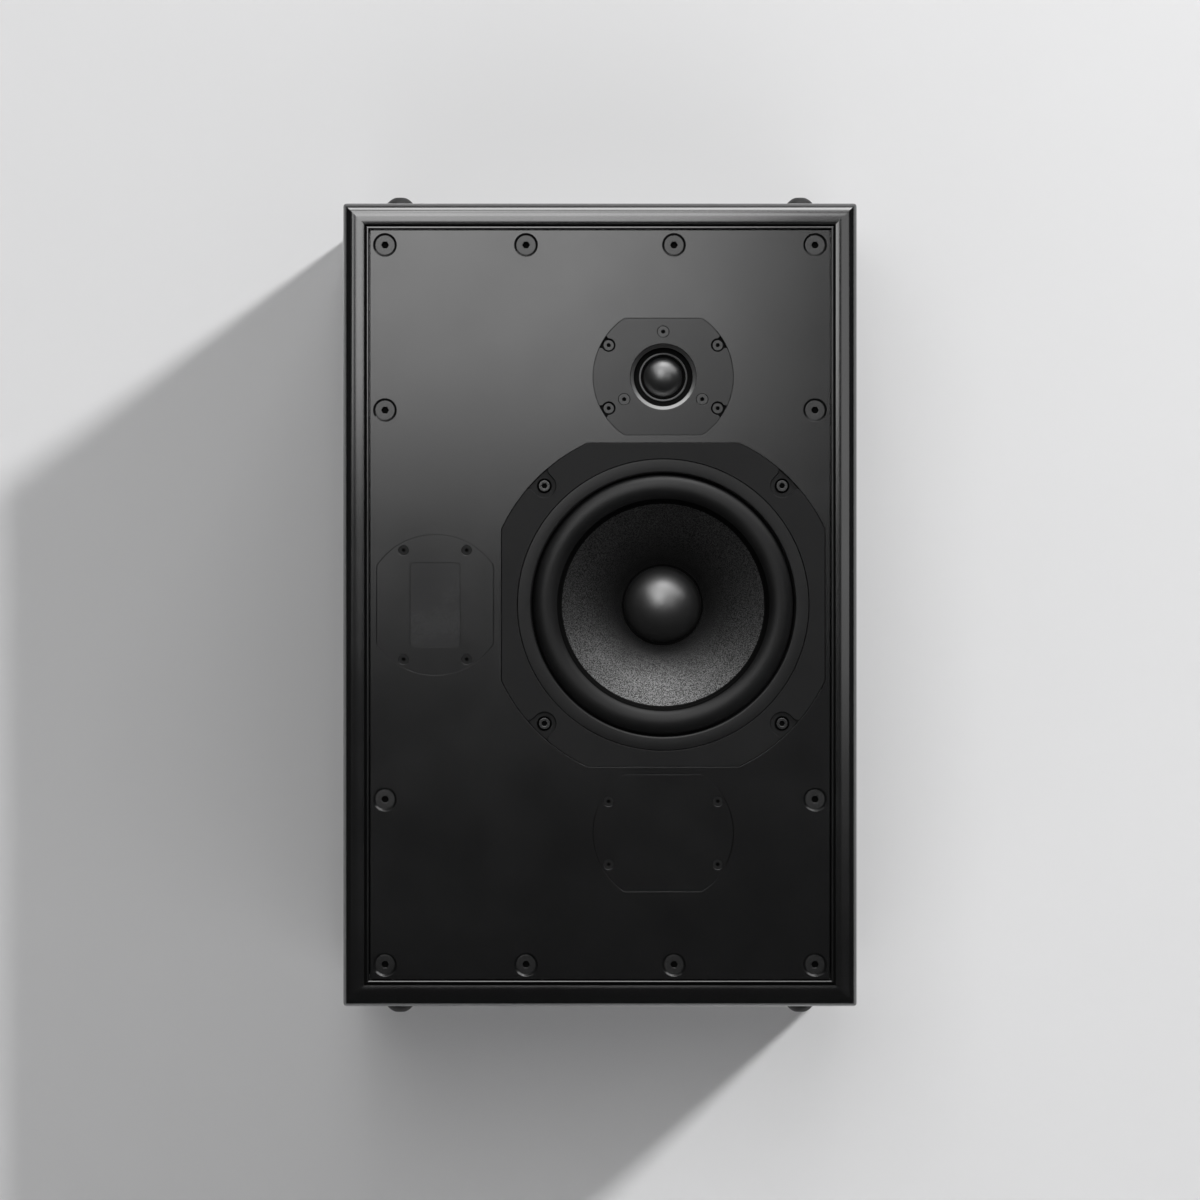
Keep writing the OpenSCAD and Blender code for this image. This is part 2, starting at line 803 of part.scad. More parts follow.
// Tweeter
module tweeter_notch() {
    reach = norm([tw_screw_x, tw_screw_z]);
    translate([reach, 0]) circle(tw_pocket_r);
    polygon([[reach, -2.6], [tw_r + eps, -tw_pocket_r - 0.6], [tw_r + eps, tw_pocket_r + 0.6], [reach, 2.6]]);
}

module motor_screw_places() {
    for (a = [90, 210, 330]) rotate(a) translate([tw_motor_pcr, 0]) children();
}

module tweeter_faceplate() {
    color("#2b2b2c") at_tweeter() difference() {
        union() {
            translate([0, 0, -tw_t]) linear_extrude(tw_t) faceplate_outline();
            rod(tw_plate_r, tw_t - fit, tw_plate_front);
        }
        turned([[0, -eps], [mouth_r + eps, -eps], [mouth_r, 0], [mouth_r - 0.4, 0.4],
                [mouth_floor_r, mouth_depth - 0.5], [mouth_floor_r - 0.5, mouth_depth], [0, mouth_depth]]);
        rod(lip_r + glue, mouth_depth - eps, tw_plate_front + eps);
        rod(lip_foot_r + glue, tw_plate_front - lip_foot_t - glue, tw_plate_front + eps);
        for (p = tw_screw_at) {
            rotate(atan2(p[1], p[0])) translate([0, 0, -tw_pocket_floor])
                linear_extrude(tw_pocket_floor + eps) tweeter_notch();
            translate(p) {
                rod(m35_r + slip, -eps, tw_t + eps);
                translate([0, 0, -tw_pocket_floor]) countersink(m35_head_r + fit, m35_r + slip);
            }
        }
        motor_screw_places() {
            rod(m4_r + slip, -eps, tw_plate_front + eps);
            countersink(m4_head_r + motor_head_sink + 2 * fit, m4_r + slip);
        }
    }
}

module faceplate_gaskets() {
    color("#3a3a3a") front_view(baffle_set) for (place = tweeter_places) translate(place[0]) rotate(place[1])
        translate([0, 0, -tw_t - tw_gasket_t]) linear_extrude(tw_gasket_t) difference() {
            faceplate_outline();
            circle(tw_hole_r);
            for (p = tw_screw_at) translate(p) circle(m35_r + slip);
        }
}

// Coated fabric dome, with the skirt that carries the coil
module tweeter_dome() {
    steps = 12;
    sphere_r = (dome_r * dome_r + dome_h * dome_h) / (2 * dome_h);
    half = asin(dome_r / sphere_r);
    centre = dome_base - dome_h + sphere_r;
    skirt_r = dome_r - dome_t;
    skin = [for (i = [0:steps]) let (a = half * i / steps) [sphere_r * sin(a), centre - sphere_r * cos(a)]];
    inside = [for (i = [steps:-1:0]) let (a = half * i / steps)
        [(sphere_r - dome_t) * sin(a), centre - (sphere_r - dome_t) * cos(a)]];
    color("#17191d") at_tweeter() turned(concat(
        skin, [[dome_r, coil_front], [skirt_r, coil_front]], [for (p = inside) [min(p[0], skirt_r), p[1]]]
    ));
}

// Small half roll between the dome and the support ring
module tweeter_surround() {
    steps = 8;
    inner = dome_r + 0.15;
    outer = lip_inner_r - 0.6;
    mid = (inner + outer) / 2;
    bump = (outer - inner) / 2;
    thick = 0.25;
    skin = concat(
        [for (i = [0:steps]) let (a = 180 - 180 * i / steps)
            [mid + bump * cos(a), dome_base - bump * sin(a)]],
        [[lip_inner_r - fit, dome_base]]
    );
    color("#26282b") at_tweeter() turned(concat(
        skin, [for (i = [len(skin) - 1:-1:0]) [skin[i][0], skin[i][1] + thick]]
    ));
}

coil_front = dome_ledge + 0.6;
module tweeter_coil() {
    wire_t = 0.35;
    back = tw_plate_back - 0.5;
    color("#b5652b") at_tweeter() turned([
        [dome_r - dome_t, coil_front], [dome_r, coil_front], [dome_r, tw_plate_front + 0.5],
        [dome_r + wire_t, tw_plate_front + 0.5], [dome_r + wire_t, back], [dome_r - dome_t, back]
    ]);
}

// Ring that holds the surround, with the narrow lip that shows in the mouth
module tweeter_support_ring() {
    lip_front = mouth_depth - 0.8;
    foot_front = tw_plate_front - lip_foot_t;
    ledge_r = lip_inner_r - 0.55;
    seat = dome_base + 0.25;
    color("#4b4b4d") at_tweeter() turned([
        [lip_inner_r, lip_front + 0.4], [lip_inner_r + 0.3, lip_front], [lip_r - 0.3, lip_front],
        [lip_r, lip_front + 0.4], [lip_r, foot_front], [lip_foot_r, foot_front],
        [lip_foot_r, tw_plate_front], [ledge_r, tw_plate_front], [ledge_r, seat], [lip_inner_r, seat]
    ]);
}

module tweeter_top_plate() {
    color("#8a8a88") at_tweeter() difference() {
        tube(tw_plate_r, dome_r + 0.8, tw_plate_front, tw_plate_back);
        motor_screw_places() rod(m4_r + fit, 0, tw_plate_back + eps);
    }
}

module tweeter_magnet() {
    color("#9a9a9c") at_tweeter() tube(tw_magnet_r, dome_r + 4, tw_plate_back, tw_magnet_back);
}

module tweeter_yoke() {
    vent_r = 3;
    pole_r = dome_r - dome_t - 0.4;
    color("#8a8a88") at_tweeter() turned([
        [vent_r, tw_plate_front], [pole_r, tw_plate_front], [pole_r, tw_magnet_back],
        [tw_yoke_r, tw_magnet_back], [tw_yoke_r, tw_yoke_back], [vent_r, tw_yoke_back]
    ]);
}

module tweeter_rear_chamber() {
    back = tw_yoke_back + chamber_len;
    inner = chamber_r - chamber_wall;
    color("#1f1f20") at_tweeter() turned([
        [inner, tw_yoke_back], [chamber_r, tw_yoke_back], [chamber_r, back],
        [0, back], [0, back - chamber_wall], [inner, back - chamber_wall]
    ]);
}

module tweeter_screws() {
    color("#2c2c2e") at_tweeter() for (p = tw_screw_at) translate([p[0], p[1], -tw_pocket_floor])
        flat_screw(m35_head_r, m35_r, m35_len - tw_pocket_floor, m35_hex_r, m35_hex_depth, 0);
}

module tweeter_motor_screws() {
    color("#2c2c2e") at_tweeter() motor_screw_places()
        flat_screw(m4_head_r, m4_r, tw_plate_back, m35_hex_r, m35_hex_depth, motor_head_sink);
}

// Blanking plates over the two unused tweeter places
module blanking_plate(place) {
    color("#222223") front_view(baffle_set) translate(place[0]) rotate(place[1]) difference() {
        translate([0, 0, -tw_t]) linear_extrude(tw_t) faceplate_outline();
        for (p = tw_screw_at) translate(p) {
            rod(m35_r + slip, -eps, tw_t + eps);
            countersink(m35_head_r + head_play, m35_r + slip);
        }
    }
}

badge_sink = 0.3;
badge_r = 2;
module side_blank() {
    difference() {
        blanking_plate(tweeter_places[2]);
        front_view(baffle_set) translate(side_at) translate([0, 0, -badge_t - badge_sink])
            linear_extrude(badge_t + badge_sink + eps)
                rounded_rect(badge_w + slip, badge_h + slip, badge_r + slip / 2);
    }
}

module lower_blank() {
    blanking_plate(tweeter_places[1]);
}

module blank_screws() {
    color("#222223") front_view(baffle_set) for (i = [1, 2])
        translate(tweeter_places[i][0]) rotate(tweeter_places[i][1]) for (p = tw_screw_at) translate(p)
            flat_screw(m35_head_r, m35_r, m35_len, m35_hex_r, m35_hex_depth, blank_head_sink);
}

module badge() {
    color("#1f1f20") plate(baffle_set + badge_sink, badge_t)
        translate(side_at) rounded_rect(badge_w, badge_h, badge_r);
}

// Domed rubber feet, four under the cabinet and four on top
foot_screw_len = 12;
foot_screw_r = 1.5;
foot_screw_head_r = 2.3;
foot_screw_head_h = 1.6;
foot_web = 2;
module foot_places(top) {
    for (sx = [-1, 1], y = [front_y + foot_inset, back_y - foot_inset])
        translate([sx * foot_x, y, mid_z + (2 * top - 1) * cab_h / 2]) mirror([0, 0, top]) children();
}

module foot() {
    dome_centre = sqrt(foot_dome_r * foot_dome_r - foot_flat_r * foot_flat_r) - foot_h;
    difference() {
        intersection() {
            translate([0, 0, dome_centre]) sphere(foot_dome_r);
            translate([0, 0, -foot_h]) cylinder(h = foot_h, r = foot_dome_r + eps);
        }
        translate([0, 0, -foot_h - eps]) cylinder(h = foot_h - foot_web + eps, r = foot_screw_head_r + fit);
        translate([0, 0, -foot_h]) cylinder(h = foot_h + eps, r = foot_screw_r + fit);
    }
}

module feet() {
    color("#2f2f30") for (top = [0, 1]) foot_places(top) foot();
}

module foot_screws() {
    color("#6b6b6d") for (top = [0, 1]) foot_places(top) difference() {
        union() {
            translate([0, 0, -foot_web - foot_screw_head_h])
                cylinder(h = foot_screw_head_h, r = foot_screw_head_r);
            translate([0, 0, -foot_web]) cylinder(h = foot_screw_len - eps, r = foot_screw_r);
        }
        for (turn = [0, 90]) rotate(turn)
            translate([0, 0, -foot_web - foot_screw_head_h]) cube([2.6, 0.6, 2], center = true);
    }
}

// Terminal cup in the back panel, with its two binding posts
cup_screw_r = 1.7;
cup_screw_len = 12;
cup_screw_inset = 6;
cup_screw_at = [for (sx = [-1, 1], sz = [-1, 1])
    [sx * (cup_w / 2 - cup_screw_inset), cup_z + sz * (cup_h / 2 - cup_screw_inset)]];
nut_r = 5;
nut_t = 5;
module terminal_cup() {
    color("#19191a") difference() {
        union() {
            plate(cab_d - cup_t, cup_t) translate([0, cup_z]) rounded_rect(cup_w, cup_h, cup_flange_r);
            plate(cup_floor - cup_t, cab_d - cup_floor) translate([0, cup_z])
                rounded_rect(cup_body_w, cup_body_h, cup_flange_r);
        }
        difference() {
            plate(cup_floor, cup_depth + eps) translate([0, cup_z])
                rounded_rect(cup_body_w - 2 * cup_t, cup_body_h - 2 * cup_t, cup_flange_r - cup_t);
            front_view(0) for (p = post_at) translate(p)
                rod(cap_out_r, cup_floor - eps, cup_floor + collar_h);
        }
        front_view(0) {
            for (p = post_at) translate(p)
                rod(stud_r + fit, cup_floor - cup_t - eps, cup_floor + collar_h + eps);
            for (p = cup_screw_at) translate(p) {
                rod(cup_screw_r + slip, cab_d - cup_t - eps, cab_d + eps);
                translate([0, 0, -cab_d]) mirror([0, 0, 1])
                    countersink(m35_head_r + head_play, cup_screw_r + slip);
            }
        }
    }
}

module cup_screws() {
    color("#2c2c2e") front_view(0) for (p = cup_screw_at)
        translate([p[0], p[1], -cab_d]) mirror([0, 0, 1])
            flat_screw(m35_head_r, cup_screw_r, cup_screw_len, m35_hex_r, m35_hex_depth, blank_head_sink);
}

module post_studs() {
    cross_hole_r = 1.2;
    color("#b08d4a") front_view(0) for (p = post_at) translate(p) difference() {
        rod(stud_r, stud_front, stud_end);
        rod(socket_r, stud_end - socket_len, stud_end + eps);
        translate([0, 0, -cup_floor - collar_h - 2]) rotate([0, 90, 0])
            cylinder(h = 4 * stud_r, r = cross_hole_r, center = true);
    }
}

module post_nuts() {
    color("#b08d4a") front_view(0) for (p = post_at) translate(p) difference() {
        rod(nut_r, cup_floor - cup_t - nut_t, cup_floor - cup_t, 6);
        rod(stud_r + fit, 0, cab_d);
    }
}

// Fluted cap and the threaded metal core moulded into it
module post_cap(p) {
    flutes = 16;
    front_view(0) translate(p) difference() {
        rod(cap_out_r, cap_bottom, cap_bottom + cap_len);
        rod(stud_r + 0.4, cap_bottom - eps, cap_bottom + cap_len + eps);
        rod(core_r + fit, core_bottom, core_bottom + core_len + fit);
        for (i = [0:flutes - 1]) rotate(i * 360 / flutes) translate([cap_out_r + 0.35, 0])
            rod(0.8, cap_bottom + 3, cap_bottom + cap_len - 2);
    }
}

module post_core(p) {
    color("#b08d4a") front_view(0) translate(p)
        tube(core_r, stud_r + fit, core_bottom + fit, core_bottom + core_len);
}

module red_cap() {
    color("#a01818") post_cap(post_at[0]);
}

module black_cap() {
    color("#151515") post_cap(post_at[1]);
}

module red_core() {
    post_core(post_at[0]);
}

module black_core() {
    post_core(post_at[1]);
}

// Crossover
standoff_screw_r = 1.5;
standoff_r = 3;
standoff_head_r = 2.8;
standoff_head_t = 2;
standoff_bite = 4;
standoff_inset = 6;
standoff_at = [for (sx = [-1, 1], sz = [-1, 1])
    [board_x + sx * (board_w / 2 - standoff_inset), board_z + sz * (board_h / 2 - standoff_inset)]];
module crossover_board() {
    color("#2f5a3a") difference() {
        plate(board_face, board_t) translate([board_x, board_z]) square([board_w, board_h], center = true);
        front_view(0) for (p = standoff_at) translate(p) rod(standoff_screw_r + fit, 0, cab_d);
    }
}

module board_standoffs() {
    color("#b08d4a") front_view(0) for (p = standoff_at) translate(p) {
        rod(standoff_r, board_back, inner_back);
        rod(standoff_screw_r, board_face - standoff_head_t / 2, inner_back + standoff_bite);
        rod(standoff_head_r, board_face - standoff_head_t, board_face);
    }
}

// Parts on the board, each by its distances from the left and lower edges of the board
board_left = board_x - board_w / 2;
board_low = board_z - board_h / 2;
bass_coil_r = 27;
bass_coil_h = 22;
bass_coil_wind = 15;
treble_coil_r = 17;
treble_coil_h = 15;
treble_coil_wind = 9;
module air_coil(r, wind, h) {
    linear_extrude(h) difference() {
        circle(r);
        circle(r - wind);
    }
}

module inductors() {
    color("#b5652b") front_view(board_face) {
        translate([board_left + bass_coil_r + 19, board_low + board_h - bass_coil_r - 13, 0])
            air_coil(bass_coil_r, bass_coil_wind, bass_coil_h);
        translate([board_left + treble_coil_r + 7, board_low + treble_coil_r + 31, 0])
            air_coil(treble_coil_r, treble_coil_wind, treble_coil_h);
    }
}

bass_cap_r = 11;
bass_cap_len = 50;
treble_cap_r = 8;
treble_cap_len = 24;
trim_cap_r = 7;
trim_cap_len = 16;
module capacitors() {
    color("#c9b98a") front_view(board_face) {
        translate([board_left + board_w - bass_cap_r - 5, board_low + 12, bass_cap_r])
            rotate([-90, 0, 0]) cylinder(h = bass_cap_len, r = bass_cap_r);
        translate([board_left + board_w - 2 * bass_cap_r - trim_cap_r - 5, board_low + 12, trim_cap_r])
            rotate([-90, 0, 0]) cylinder(h = trim_cap_len, r = trim_cap_r);
        translate([board_left + 16, board_low + treble_cap_r + 10, treble_cap_r])
            rotate([0, 90, 0]) cylinder(h = treble_cap_len, r = treble_cap_r);
    }
}

resistor_w = 9;
resistor_len = 22;
resistor_gap = 4;
module resistors() {
    color("#e6e3da") front_view(board_face) for (i = [0:1])
        translate([board_left + 5, board_low + 74 + i * (resistor_len + resistor_gap), 0])
            cube([resistor_w, resistor_len, resistor_w]);
}

// Leads inside the cabinet, from the crossover board to both drivers and the two posts
wire_r = 1.6;
wire_sides = 8;
wire_steps = 3;
woofer_lug_depth = baffle_set + (hub_front + hub_back) / 2;
tw_lug_depth = baffle_set + tw_plate_back + strip_t;
tw_lug_x = tweeter_at[0] - tw_strip_in - tw_strip_w + wire_r;
stud_front = cup_floor - 16;
pad_low = board_low + 5;
woofer_pad = [board_left + 48, pad_low, board_face];
tweeter_pad = [board_left + 64, board_low + 133, board_face];
first_post_pad = [board_left + 64, pad_low, board_face];
second_post_pad = [board_left + 72, pad_low, board_face];

// A point on the way from a driver's lug to the board, by its share of the depth between them
function on_way(x, z, from, share) = [x, z, from + share * (board_face - from)];

function before(point, length) = [point[0], point[1], point[2] - length];

woofer_lead = [
    [woofer_at[0], -hub_r - strip_t, woofer_lug_depth],
    [woofer_at[0], -hub_r - strip_t - 8, woofer_lug_depth],
    on_way(30, -86, woofer_lug_depth, 0.15), on_way(4, -92, woofer_lug_depth, 0.33),
    on_way(-32, -90, woofer_lug_depth, 0.49), on_way(-64, -84, woofer_lug_depth, 0.65),
    before(woofer_pad, 12), woofer_pad
];
tweeter_lead = [
    [tw_lug_x, tweeter_at[1], tw_lug_depth],
    [tw_lug_x, tweeter_at[1], tw_lug_depth + 8],
    on_way(-2, 138, tw_lug_depth, 0.19), on_way(-20, 126, tw_lug_depth, 0.4),
    on_way(-36, 102, tw_lug_depth, 0.58), on_way(-50, 78, tw_lug_depth, 0.74),
    before(tweeter_pad, 12), tweeter_pad
];
first_post_lead = [
    [post_at[0][0], cup_z, stud_front], [post_at[0][0], cup_z, stud_front - 6],
    [-26, -160, stud_front - 16], [-48, -126, stud_front - 10], [-64, -92, board_face - 16],
    before(first_post_pad, 6), first_post_pad
];
second_post_lead = [
    [post_at[1][0], cup_z, stud_front], [post_at[1][0], cup_z, stud_front - 6],
    [-8, -152, stud_front - 20], [-34, -118, stud_front - 12], [-54, -88, board_face - 18],
    before(second_post_pad, 6), second_post_pad
];

function spline(a, b, c, d, t) =
    0.5 * ((2 * b) + (c - a) * t + (2 * a - 5 * b + 4 * c - d) * t * t + (3 * b - a - 3 * c + d) * t * t * t);

function route(points) = let (n = len(points))
    concat([for (i = [0:n - 2], s = [0:wire_steps - 1])
        spline(points[max(i - 1, 0)], points[i], points[i + 1], points[min(i + 2, n - 1)], s / wire_steps)],
        [points[n - 1]]);

function ring(centre, along) =
    let (across = unit(cross(along, [0.9, 0.5, -0.6])), up = cross(across, along))
    [for (k = [0:wire_sides - 1]) let (a = 360 * k / wire_sides)
        centre + wire_r * (cos(a) * across + sin(a) * up)];

module wire(points) {
    line = [for (p = route(points)) [p[0], p[1], -p[2]]];
    n = len(line);
    first = [points[1][0] - points[0][0], points[1][1] - points[0][1], points[0][2] - points[1][2]];
    heading = [for (i = [0:n - 1])
        unit(i == 0 ? first : i == n - 1 ? [0, 0, -1] : line[i + 1] - line[i - 1])];
    sides = [for (i = [0:n - 2], k = [0:wire_sides - 1]) let (next = (k + 1) % wire_sides)
        [i * wire_sides + k, (i + 1) * wire_sides + k, (i + 1) * wire_sides + next, i * wire_sides + next]];
    ends = [[for (k = [0:wire_sides - 1]) k], [for (k = [wire_sides - 1:-1:0]) (n - 1) * wire_sides + k]];
    polyhedron([for (i = [0:n - 1]) each ring(line[i], heading[i])], concat(sides, ends));
}

module signal_leads() {
    color("#a33a2c") front_view(0) {
        wire(woofer_lead);
        wire(tweeter_lead);
        wire(first_post_lead);
        wire(second_post_lead);
    }
}

// Foam lining in front of the back panel, above the brace and beside the crossover
foam_t = 25;
foam_edge = 2;
foam_gap = 75;
foam_rise = 48;
module foam_block(left, right, low, high) {
    plate(inner_back - foam_t, foam_t) translate([left, low]) square([right - left, high - low]);
}

module damping_foam() {
    right = inner_w / 2 - foam_edge;
    color("#4a4a4c") {
        foam_block(-right, right, brace_z + brace_t / 2 + foam_edge, inner_h / 2 - foam_edge);
        foam_block(
            board_left + board_w + foam_gap, right,
            cup_z + cup_h / 2 + foam_rise, brace_z - brace_t / 2 - foam_edge
        );
    }
}

left_side();
right_side();
top_board();
bottom_board();
back_panel();
side_battens();
cross_battens();
window_brace();
baffle_gasket();
baffle();
baffle_screws();
threaded_inserts();
woofer_frame();
woofer_gasket();
woofer_trim_ring();
woofer_surround();
woofer_cone();
woofer_dust_cap();
woofer_former();
woofer_coil();
woofer_spider();
woofer_top_plate();
woofer_magnet();
woofer_yoke();
driver_terminals();
woofer_screws();
tweeter_faceplate();
faceplate_gaskets();
tweeter_dome();
tweeter_surround();
tweeter_coil();
tweeter_support_ring();
tweeter_top_plate();
tweeter_magnet();
tweeter_yoke();
tweeter_rear_chamber();
tweeter_screws();
tweeter_motor_screws();
side_blank();
lower_blank();
blank_screws();
badge();
feet();
foot_screws();
terminal_cup();
cup_screws();
post_studs();
post_nuts();
red_cap();
black_cap();
red_core();
black_core();
crossover_board();
board_standoffs();
inductors();
capacitors();
resistors();
signal_leads();
damping_foam();
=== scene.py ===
import json
import math
import bmesh
import bpy
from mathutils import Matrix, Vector


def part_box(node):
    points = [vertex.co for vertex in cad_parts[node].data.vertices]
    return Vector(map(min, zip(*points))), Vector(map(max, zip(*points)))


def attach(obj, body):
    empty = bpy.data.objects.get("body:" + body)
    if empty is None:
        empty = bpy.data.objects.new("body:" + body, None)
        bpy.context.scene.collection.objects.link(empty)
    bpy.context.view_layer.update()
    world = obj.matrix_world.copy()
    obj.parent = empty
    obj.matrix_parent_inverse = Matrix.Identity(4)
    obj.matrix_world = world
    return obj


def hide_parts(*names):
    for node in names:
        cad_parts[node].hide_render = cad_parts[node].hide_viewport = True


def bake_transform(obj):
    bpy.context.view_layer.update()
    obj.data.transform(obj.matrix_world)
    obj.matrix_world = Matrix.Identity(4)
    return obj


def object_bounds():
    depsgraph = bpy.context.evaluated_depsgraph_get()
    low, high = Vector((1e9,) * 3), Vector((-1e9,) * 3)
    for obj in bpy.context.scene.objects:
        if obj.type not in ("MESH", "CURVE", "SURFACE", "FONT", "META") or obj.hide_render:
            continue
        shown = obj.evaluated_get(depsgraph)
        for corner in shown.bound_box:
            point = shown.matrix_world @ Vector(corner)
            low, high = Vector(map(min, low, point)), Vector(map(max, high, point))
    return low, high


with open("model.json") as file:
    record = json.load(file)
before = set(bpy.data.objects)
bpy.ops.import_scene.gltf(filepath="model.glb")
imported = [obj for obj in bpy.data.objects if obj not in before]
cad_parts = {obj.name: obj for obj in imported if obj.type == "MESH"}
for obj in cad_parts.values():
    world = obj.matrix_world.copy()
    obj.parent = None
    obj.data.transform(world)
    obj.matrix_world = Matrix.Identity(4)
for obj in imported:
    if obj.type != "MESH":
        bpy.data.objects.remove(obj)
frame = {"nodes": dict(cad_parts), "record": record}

# A two-way studio monitor: finishes, soft parts and the studio. The script works in metres. The
# dictionaries of the pieces give millimetres, with depths measured back from the face of the baffle
# or, for the moulding, from the front of the cabinet. Those of the lamps and the camera give metres.
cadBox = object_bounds()
print("frame loaded with", len(frame["nodes"]), "pieces")

mm = 0.001
bodyOf = {node: body for body, nodes in frame["record"]["behaviour"]["bodies"].items() for node in nodes}
slotOf = {part["node"]: part["material_slot"] for part in frame["record"]["subparts"]}


def middleOf(node):
    low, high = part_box(node)
    return (low + high) / 2


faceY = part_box("baffle")[0].y
wooferAt = middleOf("woofer_trim_ring")
wooferAt.y = faceY
tweeterAt = middleOf("tweeter_support_ring")
tweeterAt.y = faceY


# Node groups shared by the finishes
def startGroup(name, inputs, outputs):
    group = bpy.data.node_groups.new(name, "ShaderNodeTree")
    for label, kind, value in inputs:
        socket = group.interface.new_socket(name=label, in_out="INPUT", socket_type=kind)
        if value is not None:
            socket.default_value = value
    for label, kind in outputs:
        group.interface.new_socket(name=label, in_out="OUTPUT", socket_type=kind)
    return group, group.nodes.new("NodeGroupInput"), group.nodes.new("NodeGroupOutput")


def addNoise(tree, vector, scale, detail=2.0, roughness=0.5):
    noise = tree.nodes.new("ShaderNodeTexNoise")
    noise.inputs["Detail"].default_value = detail
    noise.inputs["Roughness"].default_value = roughness
    tree.links.new(vector, noise.inputs["Vector"])
    if isinstance(scale, (int, float)):
        noise.inputs["Scale"].default_value = scale
    else:
        tree.links.new(scale, noise.inputs["Scale"])
    return noise.outputs["Fac"]


def addMath(tree, operation, first, second=0.5, third=0.5):
    step = tree.nodes.new("ShaderNodeMath")
    step.operation = operation
    for place, value in enumerate((first, second, third)):
        if isinstance(value, (int, float)):
            step.inputs[place].default_value = value
        else:
            tree.links.new(value, step.inputs[place])
    return step.outputs[0]


def addRange(tree, value, low, high, toLow, toHigh):
    span = tree.nodes.new("ShaderNodeMapRange")
    tree.links.new(value, span.inputs["Value"])
    for label, bound in (("From Min", low), ("From Max", high), ("To Min", toLow), ("To Max", toHigh)):
        if isinstance(bound, (int, float)):
            span.inputs[label].default_value = bound
        else:
            tree.links.new(bound, span.inputs[label])
    return span.outputs["Result"]


# A sprayed or moulded skin: fine peel and grain for the bump, wide soft patches for the sheen
def makeSkinGroup():
    group, start, end = startGroup(
        "sprayedSkin",
        [("Vector", "NodeSocketVector", None), ("Peel Scale", "NodeSocketFloat", 400.0),
         ("Grain Scale", "NodeSocketFloat", 2500.0), ("Grain Share", "NodeSocketFloat", 0.4),
         ("Sheen Low", "NodeSocketFloat", 0.3), ("Sheen High", "NodeSocketFloat", 0.4)],
        [("Height", "NodeSocketFloat"), ("Roughness", "NodeSocketFloat"), ("Shade", "NodeSocketFloat")])
    vector = start.outputs["Vector"]
    peel = addNoise(group, vector, start.outputs["Peel Scale"], 2.0)
    grain = addNoise(group, vector, start.outputs["Grain Scale"], 3.0, 0.6)
    patches = addNoise(group, vector, 22.0, 4.0, 0.6)
    share = start.outputs["Grain Share"]
    peelPart = addMath(group, "MULTIPLY", peel, addMath(group, "SUBTRACT", 1.0, share))
    group.links.new(addMath(group, "MULTIPLY_ADD", grain, share, peelPart), end.inputs["Height"])
    mixed = addMath(group, "MULTIPLY_ADD", grain, 0.35, addMath(group, "MULTIPLY", patches, 0.65))
    sheen = addRange(group, mixed, 0.35, 0.65, start.outputs["Sheen Low"], start.outputs["Sheen High"])
    group.links.new(sheen, end.inputs["Roughness"])
    group.links.new(addRange(group, mixed, 0.3, 0.7, 0.0, 1.0), end.inputs["Shade"])
    return group


# Two sets of crossing threads, for the dome, the dust cap and the spider
def makeWeaveGroup():
    group, start, end = startGroup(
        "plainWeave",
        [("Vector", "NodeSocketVector", None), ("Thread Scale", "NodeSocketFloat", 500.0),
         ("Fuzz Scale", "NodeSocketFloat", 3000.0)],
        [("Height", "NodeSocketFloat"), ("Shade", "NodeSocketFloat")])
    threads = []
    for direction in ("X", "Z"):
        wave = group.nodes.new("ShaderNodeTexWave")
        wave.bands_direction = direction
        wave.inputs["Distortion"].default_value = 0.6
        wave.inputs["Detail"].default_value = 1.0
        group.links.new(start.outputs["Vector"], wave.inputs["Vector"])
        group.links.new(start.outputs["Thread Scale"], wave.inputs["Scale"])
        threads.append(wave.outputs["Fac"])
    fuzz = addNoise(group, start.outputs["Vector"], start.outputs["Fuzz Scale"], 3.0, 0.6)
    crossing = addMath(group, "MAXIMUM", threads[0], threads[1])
    height = addMath(group, "MULTIPLY_ADD", fuzz, 0.35, addMath(group, "MULTIPLY", crossing, 0.65))
    group.links.new(height, end.inputs["Height"])
    group.links.new(addRange(group, height, 0.3, 0.85, 0.0, 1.0), end.inputs["Shade"])
    return group


skinGroup = makeSkinGroup()
weaveGroup = makeWeaveGroup()


def startMaterial(name):
    material = bpy.data.materials.new(name)
    material.use_nodes = True
    tree = material.node_tree
    place = tree.nodes.new("ShaderNodeTexCoord").outputs["Object"]
    return material, tree, tree.nodes["Principled BSDF"], place


def useGroup(tree, group, vector, values):
    node = tree.nodes.new("ShaderNodeGroup")
    node.node_tree = group
    tree.links.new(vector, node.inputs["Vector"])
    for label, value in values.items():
        node.inputs[label].default_value = value
    return node


def addBump(tree, shader, height, depth, strength=1.0):
    bump = tree.nodes.new("ShaderNodeBump")
    bump.inputs["Strength"].default_value = strength
    bump.inputs["Distance"].default_value = depth
    tree.links.new(height, bump.inputs["Height"])
    tree.links.new(bump.outputs["Normal"], shader.inputs["Normal"])


def addTint(tree, shader, mask, dark, light):
    tint = tree.nodes.new("ShaderNodeMix")
    tint.data_type = "RGBA"
    tree.links.new(mask, tint.inputs["Factor"])
    tint.inputs["A"].default_value = (*dark, 1.0)
    tint.inputs["B"].default_value = (*light, 1.0)
    tree.links.new(tint.outputs["Result"], shader.inputs["Base Color"])


